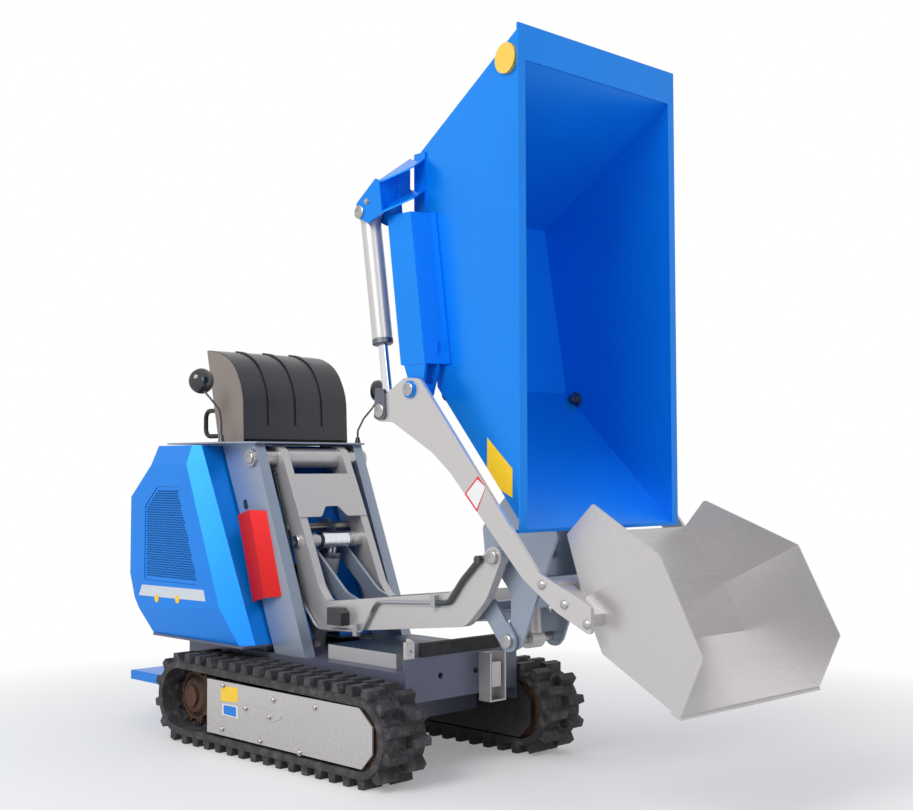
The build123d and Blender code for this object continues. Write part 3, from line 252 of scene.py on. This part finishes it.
def metal(name, colour, roughness, streak=(1, 1, 1), scale=120.0, spread=0.12):
    """Bare metal with machining or rolling marks along one direction."""
    surface = Surface(name, roughness, 1.0)
    marks = surface.noise(scale, 4.0, streak)
    surface.colour(surface.mix(marks, shade(colour, 0.85), shade(colour, 1.1)))
    surface.feed("Roughness", marks * spread + (roughness - spread / 2))
    surface.bump(marks, 0.00012, 0.4)
    return surface.material


track = rubber("track_rubber", (0.028, 0.027, 0.030), (0.13, 0.12, 0.125))
strip_rubber = rubber("strip_rubber", (0.016, 0.016, 0.018), (0.05, 0.05, 0.052), 140.0)
steel = metal("machined_steel", (0.46, 0.45, 0.44), 0.32)
dark_steel = metal("dark_steel", (0.16, 0.17, 0.20), 0.42)
chrome = metal("chromed_rod", (0.74, 0.76, 0.80), 0.10, (1, 1, 0.05), 60.0, 0.04)

# %% [markdown]
# ## Mouldings and castings
#
# The console's hood and the mirrors are moulded plastic with a fine grain. The rollers, sprockets and engine are
# rough castings, and the running gear rusts in patches.

# %%
hood = Surface("moulded_hood", 0.36, coat=0.15)
hood.colour(hood.mix(hood.noise(4.0, 3.0), (0.010, 0.012, 0.016), (0.020, 0.022, 0.028)))
hood.feed("Roughness", hood.noise(30.0, 4.0) * 0.16 + 0.28)
hood.bump(hood.noise(700.0, 2.0), 0.0002, 0.5)

gloss = Surface("gloss_black", 0.14, coat=0.6)
gloss.colour(gloss.mix(gloss.noise(12.0, 3.0), (0.006, 0.006, 0.008), (0.016, 0.016, 0.020)))
gloss.feed("Roughness", gloss.noise(20.0, 4.0) * 0.12 + 0.08)

rust = Surface("rusty_casting", 0.75, 0.3)
rust_patch = rust.noise(22.0, 6.0, roughness=0.7)
rust.colour(rust.mix(rust_patch.ramp(0.35, 0.68), (0.050, 0.036, 0.030), (0.16, 0.075, 0.040)))
rust.bump(rust.noise(150.0, 6.0), 0.0010, 0.6)

casting = Surface("engine_casting", 0.6, 0.6)
casting.colour(casting.mix(casting.noise(18.0, 5.0), (0.05, 0.05, 0.05), (0.12, 0.11, 0.10)))
casting.bump(casting.noise(160.0, 5.0), 0.0012, 0.6)

# %% [markdown]
# ## Shovel, deck, reflectors and the line on the arm
#
# The shovel is scratched along its width by what slides through it. The deck box has silver sides and a dark top
# face, which is painted shade; one mask on height tells them apart. The reflector's cells and the hose's braid are
# products of sines.

# %%
bowl = Surface("scuffed_bowl", 0.34, 0.5, 0.1)
scratch = bowl.noise(170.0, 5.0, (1.0, 0.05, 1.0), 0.6)
bowl_tone = bowl.mix(scratch.ramp(0.3, 0.7), (0.50, 0.48, 0.48), (0.57, 0.55, 0.55))
bowl.colour(bowl.mix(bowl.noise(4.0, 4.0).ramp(0.5, 0.85) * 0.22, bowl_tone, (0.44, 0.41, 0.40)))
bowl.feed("Roughness", scratch * 0.12 + 0.26)
bowl.bump(scratch, 0.00008, 0.5)

deck = Surface("deck_paint_with_painted_shade", 0.42, 0.3)
DECK_TOP = 0.3865
# The mask paints the deck box's top face dark blue as painted shade; its sides keep a silver tone.
painted_shade_on_top = deck.z.ramp(DECK_TOP - 0.0003, DECK_TOP + 0.0003)
deck.colour(deck.mix(painted_shade_on_top, (0.50, 0.49, 0.49), (0.030, 0.060, 0.095)))
deck.feed("Roughness", deck.noise(20.0, 5.0) * 0.2 + 0.3)
deck.bump(deck.noise(200.0, 3.0), 0.0003, 0.4)

reflector = Surface("prism_reflector", 0.16, coat=0.8)
CELL_RATE = 1500.0
cells = (reflector.x * CELL_RATE).sine() * (reflector.z * CELL_RATE).sine()
reflector.colour(reflector.mix(cells.ramp(-1.0, 1.0), (0.80, 0.42, 0.0), (0.95, 0.66, 0.02)))
reflector.bump(cells, 0.0006, 0.6)

line = Surface("arm_line", 0.4)
TUBE_END_X, BRAID_RATE = 0.436 + CENTRE_X, 900.0
before_end = line.x.ramp(TUBE_END_X + 0.001, TUBE_END_X)
on_tube = before_end * line.z.ramp(0.52, 0.50).larger(line.x.ramp(-0.05, 0.0))
braid = ((line.x + line.z) * BRAID_RATE).sine() * ((line.x - line.z) * BRAID_RATE).sine()
rubber_tone = line.mix(braid.ramp(-0.5, 0.8), (0.02, 0.024, 0.024), (0.11, 0.13, 0.12))
line.colour(line.mix(on_tube, rubber_tone, (0.42, 0.43, 0.46)))
line.feed("Metallic", on_tube * 0.5)
line.feed("Roughness", on_tube * -0.2 + 0.58)
line.bump(braid, 0.0006, 0.4)

# %% [markdown]
# ## Films for blank plates
#
# A printed plate with nothing on it is a smooth film, a little uneven and scuffed.


# %%
def plate_paint(name, colour):
    """Printed plate with nothing on it: a smooth film, a little uneven and scuffed."""
    surface = Surface(name, 0.35, coat=0.2)
    surface.colour(surface.mix(surface.noise(40.0, 5.0), shade(colour, 0.93), shade(colour, 1.05)))
    surface.feed("Roughness", surface.noise(60.0, 4.0) * 0.2 + 0.25)
    return surface.material


yellow_film = plate_paint("yellow_film", (0.93, 0.60, 0.01))
white_film = plate_paint("white_film", (0.80, 0.80, 0.80))
red_film = plate_paint("red_film", (0.74, 0.01, 0.02))
silver_film = plate_paint("silver_film", (0.62, 0.68, 0.74))

# %% [markdown]
# ## Finish of each CAD node
#
# The solids keep their shapes and places. Each only gets its material in its slot, because the shapes were settled
# in CAD.

# %%
FINISHES = (
    (track, "track_left track_right"),
    (rust.material, "sprockets track_rollers drive_motors"),
    (black, "track_frames platform_bracket control_console"),
    (silver, "side_covers tie_down_lugs hose_bracket lift_arms lift_barrel tip_barrel loader_barrels loader_arms"),
    (mast_silver_painted_shade, "mast_posts mast_top_plate tilt_carriage levelling_link"),
    (chassis_silver_painted_shade, "chassis"),
    (deck.material, "deck_box"),
    (bowl.material, "shovel"),
    (blue, "engine_cover engine_grilles operator_platform skip_body skip_lugs skip_brackets"),
    (red, "mast_guards"),
    (strip_rubber, "bumper_strip"),
    (steel, "mast_shafts carriage_pins"),
    (chrome, "lift_rod tip_rod loader_rods"),
    (casting.material, "engine_block"),
    (hood.material, "console_cover work_lamp"),
    (beige, "console_sides"),
    (gloss.material, "mirrors control_levers"),
    (reflector.material, "reflectors"),
    (line.material, "arm_lines"),
)
for finish, names in FINISHES:
    for name in names.split():
        mesh = nodes[name].data
        mesh.materials.clear()
        mesh.materials.append(finish)
print("finished nodes:", sum(len(names.split()) for _, names in FINISHES), "of", len(nodes))

# %% [markdown]
# ## Tools for small pieces
#
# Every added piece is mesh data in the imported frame, with its object at the origin, and rides on one CAD body.


# %%
def piece(name, mesh, material, body):
    """Link a mesh as a piece of the scene that rides on a body."""
    obj = bpy.data.objects.new(name, mesh)
    scene.collection.objects.link(obj)
    mesh.materials.clear()
    mesh.materials.append(material)
    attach(obj, body)
    return obj


def mesh_of(name, points, faces, smooth=False):
    mesh = bpy.data.meshes.new(name)
    mesh.from_pydata([tuple(point) for point in points], [], faces)
    mesh.validate()
    if smooth:
        mesh.shade_smooth()
    mesh.update()
    return mesh


def turned(profile, sides=24):
    """Points and faces of a shape turned about Z from rows of radius and height, from its foot to its top."""
    points, faces = [], []
    for radius, height in profile:
        for index in range(sides):
            angle = 2 * math.pi * index / sides
            points.append((radius * math.cos(angle), radius * math.sin(angle), height))
    for row in range(len(profile) - 1):
        low, high = row * sides, (row + 1) * sides
        for index in range(sides):
            after = (index + 1) % sides
            faces.append((low + index, low + after, high + after, high + index))
    top = (len(profile) - 1) * sides
    faces.append(tuple(range(top, top + sides)))
    faces.append(tuple(range(sides - 1, -1, -1)))
    return points, faces


# %% [markdown]
# ## Repeated pieces by Geometry Nodes
#
# Bolts could be copied in a loop of objects. Geometry Nodes keep one pattern and a cloud of points, each with its own
# turn, and instance the pattern on them. Realize Instances and Set Material end the tree, because an export drops
# instances.


# %%
def repeated(name, shape, places, material, body):
    """Copies of a shape by Geometry Nodes: one at each place, its Z along the direction given there."""
    pattern = bpy.data.objects.new(name + "_pattern", mesh_of(name + "_pattern", *shape))
    points = bpy.data.meshes.new(name + "_points")
    points.from_pydata([tuple(place) for place, _ in places], [], [])
    turn_of = points.attributes.new("turn", "FLOAT_VECTOR", "POINT")
    for index, (_, direction) in enumerate(places):
        turn_of.data[index].vector = Vector(direction).to_track_quat("Z", "Y").to_euler()
    host = bpy.data.objects.new(name + "_host", points)
    scene.collection.objects.link(pattern)
    scene.collection.objects.link(host)
    tree = bpy.data.node_groups.new(name + "_nodes", "GeometryNodeTree")
    tree.interface.new_socket("Geometry", in_out="INPUT", socket_type="NodeSocketGeometry")
    tree.interface.new_socket("Geometry", in_out="OUTPUT", socket_type="NodeSocketGeometry")
    source, sink = tree.nodes.new("NodeGroupInput"), tree.nodes.new("NodeGroupOutput")
    info = add_node(tree, "GeometryNodeObjectInfo", sockets={"Object": pattern})
    turn_read = add_node(tree, "GeometryNodeInputNamedAttribute", {"data_type": "FLOAT_VECTOR"}, {"Name": "turn"})
    links = {"Points": source.outputs[0], "Instance": info.outputs["Geometry"], "Rotation": turn_read.outputs[0]}
    copies = add_node(tree, "GeometryNodeInstanceOnPoints", sockets=links)
    real = add_node(tree, "GeometryNodeRealizeInstances", sockets={0: copies.outputs[0]})
    coat = add_node(tree, "GeometryNodeSetMaterial", sockets={"Geometry": real.outputs[0], "Material": material})
    tree.links.new(coat.outputs[0], sink.inputs[0])
    host.modifiers.new("copies", "NODES").node_group = tree
    graph = bpy.context.evaluated_depsgraph_get()
    mesh = bpy.data.meshes.new_from_object(host.evaluated_get(graph))
    bpy.data.objects.remove(host)
    bpy.data.objects.remove(pattern)
    return piece(name, mesh, material, body)


def flat_plate(name, corners, lift, material, body):
    """Thin plate: its back lies on the corners and its face is raised by the vector lift."""
    count = len(corners)
    points = [Vector(corner) for corner in corners] + [Vector(corner) + Vector(lift) for corner in corners]
    faces = [tuple(range(count, 2 * count)), tuple(range(count - 1, -1, -1))]
    for index in range(count):
        after = (index + 1) % count
        faces.append((index, after, after + count, index + count))
    normal = (points[1] - points[0]).cross(points[2] - points[1])
    if normal.dot(Vector(lift)) < 0:
        faces = [tuple(reversed(face)) for face in faces]
    return piece(name, mesh_of(name, points, faces), material, body)


# %% [markdown]
# ## Profiles of bolts, pins and caps
#
# Each head is a shape turned about its axis, so rows of radius and height in metres, from the foot to the top, are
# enough for it.

# %%
WASHER_AND_HEAD = [
    (0.0105, 0.0),
    (0.0105, 0.0018),
    (0.0078, 0.0018),
    (0.0078, 0.0065),
    (0.0062, 0.0082),
    (0.0001, 0.0085),
]
DOME = [(0.0135, 0.0), (0.0135, 0.0015), (0.0118, 0.0055), (0.0080, 0.0085), (0.0040, 0.0098), (0.0001, 0.0102)]
PIN_END = [
    (0.0215, 0.0),
    (0.0215, 0.0045),
    (0.0195, 0.0060),
    (0.0150, 0.0060),
    (0.0145, 0.0045),
    (0.0085, 0.0045),
    (0.0080, 0.0030),
    (0.0001, 0.0030),
]
INNER_NUT = [
    (0.026, 0.0),
    (0.026, 0.004),
    (0.018, 0.005),
    (0.018, 0.018),
    (0.010, 0.020),
    (0.010, 0.028),
    (0.0001, 0.029),
]
PLUG = [(0.0128, -0.002), (0.0128, 0.0015), (0.010, 0.003), (0.0001, 0.003)]

# %% [markdown]
# ## Where they stand
#
# One table per kind: the CAD nodes that carry it, the body, and x and z of each centre in millimetres. Each row
# stands on both sides of the machine.

# %%
COVER_BOLTS = ((-364, 88), (-137, 78), (82, 71), (-358, 241), (-62, 226), (163, 229), (-220, 178), (-84, 166))
BOLTS = (
    ("side_covers", "machine_frame", COVER_BOLTS),
    ("skip_brackets skip_lugs loader_barrels", "skip", ((371, 1865),)),
)
DOMES = (("loader_arms", "loader", ((1113, 680), (1196, 631), (1277, 584))),)
PINS = (
    ("mast_posts mast_shafts", "machine_frame", ((-470, 1046),)),
    ("lift_arms", "arms", ((-318, 738),)),
    ("tilt_carriage carriage_pins", "carriage", ((702, 460), (686, 725))),
    ("skip_brackets skip_lugs loader_arms", "skip", ((568, 1250),)),
    ("skip_brackets skip_lugs loader_barrels", "skip", ((334, 1835),)),
    ("loader_arms loader_rods", "loader_cylinder_rods", ((430, 1188),)),
)

# %% [markdown]
# ## Seating
#
# A height typed by hand can leave a head floating. A ray along Y finds the surface that is really there, and the
# piece starts on it.

# %%
WELL_OUTSIDE = 0.7


def seat(names, x, z, side, inward=True):
    """Where a line along Y at x and z first meets the named nodes, from outside or from the middle plane."""
    begin = at(x, 0, z)
    begin.y = side * WELL_OUTSIDE if inward else 0.0
    direction = Vector((0, -side if inward else side, 0))
    hits = []
    for name in names.split():
        found, place, _, _ = nodes[name].ray_cast(begin, direction)
        if found and place.y * side > 0:
            hits.append(place)
    if not hits:
        return None
    return min(hits, key=lambda place: (place - begin).length)


def seated(names, rows):
    """Places and outward directions on both sides of the machine, each on the surface that is there."""
    found = [(seat(names, x, z, side), (0, side, 0)) for x, z in rows for side in (-1, 1)]
    return [row for row in found if row[0] is not None]


for kind, shape, table in (
    ("bolts", turned(WASHER_AND_HEAD, 12), BOLTS),
    ("dome_bolts", turned(DOME), DOMES),
    ("pin_ends", turned(PIN_END), PINS),
):
    for number, (names, body, rows) in enumerate(table):
        places = seated(names, rows)
        print(kind, number, [tuple(round(part * 1000) for part in place) for place, _ in places])
        if places:
            repeated(f"{kind}_{number}", shape, places, steel, body)

# %% [markdown]
# ## Post plugs and skip nuts
#
# A plug closes a hole in the mast post, so the ray is sent beside the hole, where it meets the post's face. The nuts
# are inside the skip, and their rays start from the middle plane.

# %%
PLUG_PLACE, PLUG_ASIDE = (-509, 867), 20
SKIP_NUT_PLACE = (628, 1240)
plug_places = []
for side in (-1, 1):
    beside_hole = seat("mast_posts", PLUG_PLACE[0] + PLUG_ASIDE, PLUG_PLACE[1], side)
    centre = at(PLUG_PLACE[0], 0, PLUG_PLACE[1])
    plug_places.append((Vector((centre.x, beside_hole.y, centre.z)), (0, side, 0)))
print("plugs", [tuple(place) for place, _ in plug_places])
repeated("post_plugs", turned(PLUG), plug_places, hood.material, "machine_frame")
nut_places = [(seat("skip_body", *SKIP_NUT_PLACE, side, inward=False), (0, -side, 0)) for side in (-1, 1)]
print("skip nuts", [tuple(place) for place, _ in nut_places])
repeated("skip_nuts", turned(INNER_NUT, 12), nut_places, dark_steel, "skip")

# %% [markdown]
# ## Cylinder glands and the shovel rods' fork cheeks
#
# A gland ring closes the barrel's mouth, where the rod comes out. Its profile is a share of the barrel's radius.

# %%
GLAND = [(0.0, -0.012), (1.0, -0.012), (1.03, -0.010), (1.03, 0.004), (0.92, 0.007), (0.62, 0.008), (0.0, 0.008)]
# body, base eye, far eye, planes across, reach from the base eye to the barrel's mouth, barrel radius
CYLINDERS = (
    ("lift_cylinder_barrel", (-450, 250), (-318, 738), (0,), 455, 40),
    ("tip_cylinder_barrel", (702, 460), (670, 1080), (0,), 300, 34),
    ("loader_cylinder_barrels", (334, 1835), (430, 1188), (-370, 370), 430, 33),
)
CHEEK = ((404, 1168), (418, 1160), (446, 1160), (458, 1172), (452, 1256), (410, 1262))
CHEEK_PLANE, CHEEK_THICKNESS = 406.6, 0.0075
for body, base, end, planes, reach, radius in CYLINDERS:
    along = Vector((end[0] - base[0], 0, end[1] - base[1])).normalized()
    places = [(at(base[0], y, base[1]) + along * reach / 1000, along) for y in planes]
    ring = [(max(share * radius / 1000, 0.0001), height) for share, height in GLAND]
    repeated(body + "_glands", turned(ring, 32), places, dark_steel, body)
for side in (-1, 1):
    corners = [at(x, side * CHEEK_PLANE, z) for x, z in CHEEK]
    lift = (0, side * CHEEK_THICKNESS, 0)
    flat_plate(f"fork_cheek_{hand_of(side)}", corners, lift, dark_steel, "loader_cylinder_rods")

# %% [markdown]
# ## Punched grille
#
# The cover's side openings get one sheet with rows of round holes in a staggered pattern. A hole is kept only
# where it lies well inside the sheet's outline.

# %%
GRILLE = ((-900, 937), (-753, 937), (-608, 575), (-990, 575), (-987, 861))
HOLE_PITCH, HOLE_RADIUS, HOLE_SIDES, HOLE_MARGIN, GRID = 10.5, 3.9, 8, 11.0, 60
SHEET_PLANE, SHEET_THICKNESS = 397.5, 1.5


def inside(point, corners, margin):
    """Whether a point is inside a convex outline by a margin."""
    area = sum(a[0] * b[1] - b[0] * a[1] for a, b in zip(corners, corners[1:] + corners[:1]))
    for a, b in zip(corners, corners[1:] + corners[:1]):
        run, rise = b[0] - a[0], b[1] - a[1]
        cross = run * (point[1] - a[1]) - rise * (point[0] - a[0])
        if math.copysign(1, area) * cross / math.hypot(run, rise) < margin:
            return False
    return True


# %% [markdown]
# ## The sheet round the holes
#
# Cutting hundreds of holes with booleans is slow. A constrained triangulation fills the sheet between its outline
# and the holes' rims instead, and each hole gets its own short wall. A near-black sheet of painted shade stands
# behind it.


# %%
def punched_sheet(name, corners, side, distance, thickness):
    """Sheet with round holes and their walls, its face at a distance from the middle plane."""
    points = [Vector(corner) for corner in corners]
    edges = [(index, (index + 1) % len(corners)) for index in range(len(corners))]
    low_x, low_z = min(x for x, _ in corners), min(z for _, z in corners)
    row_step = HOLE_PITCH * math.sqrt(3) / 2
    for row in range(GRID):
        for column in range(GRID):
            centre = (low_x + (column + row % 2 / 2) * HOLE_PITCH, low_z + row * row_step)
            if inside(centre, corners, HOLE_MARGIN):
                start = len(points)
                for step in range(HOLE_SIDES):
                    angle = 2 * math.pi * step / HOLE_SIDES
                    offset = Vector((math.cos(angle), math.sin(angle))) * HOLE_RADIUS
                    points.append(Vector(centre) + offset)
                edges += [(start + step, start + (step + 1) % HOLE_SIDES) for step in range(HOLE_SIDES)]
    flat, _, triangles, _, _, _ = delaunay_2d_cdt(points, edges, [], 1, 1e-6)
    rims = len(corners)
    sheet = []
    for triangle in triangles:
        holes = {(index - rims) // HOLE_SIDES if index >= rims else -1 for index in triangle}
        if len(holes) > 1 or -1 in holes:
            sheet.append(tuple(triangle))
    count = len(flat)
    solid = [at(x, side * depth, z) for depth in (distance, distance - thickness) for x, z in flat]
    faces = [face if side < 0 else tuple(reversed(face)) for face in sheet]
    for start in range(rims, count, HOLE_SIDES):
        for step in range(HOLE_SIDES):
            first, second = start + step, start + (step + 1) % HOLE_SIDES
            wall = (first, second, second + count, first + count)
            faces.append(wall if side > 0 else tuple(reversed(wall)))
    return piece(name, mesh_of(name, solid, faces), blue, "machine_frame")


# The near-black sheet behind each grille is painted shade for the dark inside of the cover seen through the holes.
PAINTED_SHADE_PLANE, PAINTED_SHADE_THICKNESS = 388, 0.001
painted_shade_sheet = Surface("grille_painted_shade", 0.8)
painted_shade_sheet.colour(painted_shade_sheet.mix(painted_shade_sheet.noise(30.0, 3.0), (0.004, 0.005, 0.008), (0.012, 0.014, 0.018)))
for side in (-1, 1):
    hand = hand_of(side)
    sheet = punched_sheet(f"grille_sheet_{hand}", GRILLE, side, SHEET_PLANE, SHEET_THICKNESS)
    if side < 0:
        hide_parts("engine_grilles")
    back = [at(x, side * PAINTED_SHADE_PLANE, z) for x, z in GRILLE]
    lift = (0, side * PAINTED_SHADE_THICKNESS, 0)
    flat_plate(f"grille_baffle_{hand}", back, lift, painted_shade_sheet.material, "machine_frame")

# %% [markdown]
# ## Blank plates and colour fields
#
# Every plate of the machine keeps its place, colour and border. None carries any lettering.

# %%
# name, node that carries it, body, corners, film, film of the field inside its border
PLATES = (
    (
        "stripe",
        "engine_cover",
        "machine_frame",
        ((-1005, 554), (-576, 559), (-563, 518), (-1029, 511)),
        silver_film,
        None,
    ),
    (
        "skip_mark",
        "skip_body",
        "skip",
        ((829, 1097), (944, 1003), (943, 919), (902, 893), (769, 1028)),
        yellow_film,
        None,
    ),
    (
        "loader_mark",
        "loader_arms",
        "loader",
        ((862, 982), (913, 958), (858, 874), (805, 929)),
        red_film,
        white_film,
    ),
    (
        "cover_mark",
        "side_covers",
        "machine_frame",
        ((-374, 237), (-272, 243), (-272, 193), (-374, 185)),
        yellow_film,
        None,
    ),
    (
        "cover_note",
        "side_covers",
        "machine_frame",
        ((-365, 177), (-272, 179), (-271, 137), (-365, 139)),
        white_film,
        blue,
    ),
)
FILM_THICKNESS, FIELD_RISE, FIELD_SHARE = 0.0008, 0.0009, 0.8
DISC_RADIUS, DISC_SIDES = 15, 28
DRAW_IN_STEP, DRAW_IN_TRIES = 0.02, 50

# %% [markdown]
# ## Laying a film on its node
#
# A film has no strength of its own, so each corner is laid on the metal under it. Where the metal ends short of a
# corner, that corner is drawn in until it meets the metal.


# %%
def middle_of(rows):
    return sum(x for x, _ in rows) / len(rows), sum(z for _, z in rows) / len(rows)


def film(name, node, body, rows, material, rise=0.0):
    """Thin film on both sides: each corner is seated, and drawn in towards the middle where its node ends."""
    middle_x, middle_z = middle_of(rows)
    for side in (-1, 1):
        corners = []
        for x, z in rows:
            for step in range(DRAW_IN_TRIES):
                share = 1 - step * DRAW_IN_STEP
                place = seat(node, middle_x + (x - middle_x) * share, middle_z + (z - middle_z) * share, side)
                if place is not None:
                    corners.append(place)
                    break
        print(name, side, [round(corner.y * 1000, 1) for corner in corners])
        raised = [corner + Vector((0, side * rise, 0)) for corner in corners]
        flat_plate(f"{name}_{hand_of(side)}", raised, (0, side * FILM_THICKNESS, 0), material, body)


for name, node, body, rows, outer, inner in PLATES:
    film(name, node, body, rows, outer)
    if inner:
        middle_x, middle_z = middle_of(rows)
        field = [
            (middle_x + (x - middle_x) * FIELD_SHARE, middle_z + (z - middle_z) * FIELD_SHARE) for x, z in rows
        ]
        film(name + "_field", node, body, field, inner, FIELD_RISE)
for index, (x, z) in enumerate(((-897, 507), (-751, 513))):
    angles = [2 * math.pi * step / DISC_SIDES for step in range(DISC_SIDES)]
    ring = [(x + DISC_RADIUS * math.cos(angle), z + DISC_RADIUS * math.sin(angle)) for angle in angles]
    film(f"round_mark_{index}", "engine_cover", "machine_frame", ring, yellow_film, FIELD_RISE)

# %% [markdown]
# ## Floor
#
# The floor is pale and keeps the soft shadow. A share of plain white is mixed into what the camera sees of it, more
# with distance, so that it fades into the background and no horizon shows.

# %%
floor_surface = Surface("studio_floor", 0.75)
floor_tone = floor_surface.noise(1.5, 3.0)
floor_surface.colour(floor_surface.mix(floor_tone, (0.86, 0.86, 0.865), (0.89, 0.89, 0.89)))
FLOOR_REACH = 40
floor_corners = [(x * FLOOR_REACH, y * FLOOR_REACH, 0) for x, y in ((-1, -1), (1, -1), (1, 1), (-1, 1))]
floor_mesh = mesh_of("floor", floor_corners, [(0, 1, 2, 3)])
floor_mesh.materials.append(floor_surface.material)


def seen_directly(tree):
    """1 for a ray from the camera, or one that is mirrored or passes through glass."""
    kinds = add_node(tree, "ShaderNodeLightPath").outputs
    camera_ray, glossy_ray, glass_ray = (
        Field(tree, kinds[name]) for name in ("Is Camera Ray", "Is Glossy Ray", "Is Transmission Ray")
    )
    return camera_ray.larger(glossy_ray).larger(glass_ray)


WHITE = (1, 1, 1, 1)
NEAR_SQUARED, FAR_SQUARED, NEAR_WHITE = 1.0, 9.0, 0.25
floor_tree = floor_surface.tree
glow = add_node(floor_tree, "ShaderNodeEmission", sockets={"Color": WHITE, "Strength": 1.0})
from_middle = floor_surface.x * floor_surface.x + floor_surface.y * floor_surface.y
fade = from_middle.ramp(NEAR_SQUARED, FAR_SQUARED) * (1 - NEAR_WHITE) + NEAR_WHITE
blend_sockets = {0: fade * seen_directly(floor_tree), 1: floor_surface.shader.outputs[0], 2: glow.outputs[0]}
blend = add_node(floor_tree, "ShaderNodeMixShader", sockets=blend_sockets)
floor_tree.links.new(blend.outputs[0], floor_tree.nodes["Material Output"].inputs["Surface"])
floor = bpy.data.objects.new("floor", floor_mesh)
scene.collection.objects.link(floor)

# %% [markdown]
# ## World and lamps
#
# The world is white where it is seen and a dim, slightly blue grey as a light. One large soft lamp stands above the
# camera's side and a weak one in front of the machine.

# %%
world = bpy.data.worlds.new("studio")
scene.world = world
world.use_nodes = True
tree = world.node_tree
dim = tree.nodes["Background"]
dim.inputs["Color"].default_value = (0.93, 0.95, 1.0, 1)
dim.inputs["Strength"].default_value = 0.50
white = add_node(tree, "ShaderNodeBackground", sockets={"Color": WHITE, "Strength": 1.0})
choice_sockets = {0: seen_directly(tree), 1: dim.outputs[0], 2: white.outputs[0]}
choice = add_node(tree, "ShaderNodeMixShader", sockets=choice_sockets)
tree.links.new(choice.outputs[0], tree.nodes["World Output"].inputs["Surface"])

# name, place, size in metres, power in watts, colour
LAMPS = (
    ("key", (1.0, -5.4, 4.8), 3.2, 250, (1.0, 0.99, 0.97)),
    ("front_fill", (6.0, -1.0, 3.6), 3.0, 60, (0.93, 0.96, 1.0)),
)
AIM = Vector((0, 0, 0.9))
for name, place, size, energy, colour in LAMPS:
    lamp_data = bpy.data.lights.new(name, "AREA")
    lamp_data.size, lamp_data.energy, lamp_data.color = size, energy, colour
    lamp = bpy.data.objects.new(name, lamp_data)
    scene.collection.objects.link(lamp)
    lamp.location = place
    lamp.rotation_euler = (AIM - lamp.location).to_track_quat("-Z", "Y").to_euler()
scene.view_settings.view_transform = "Standard"
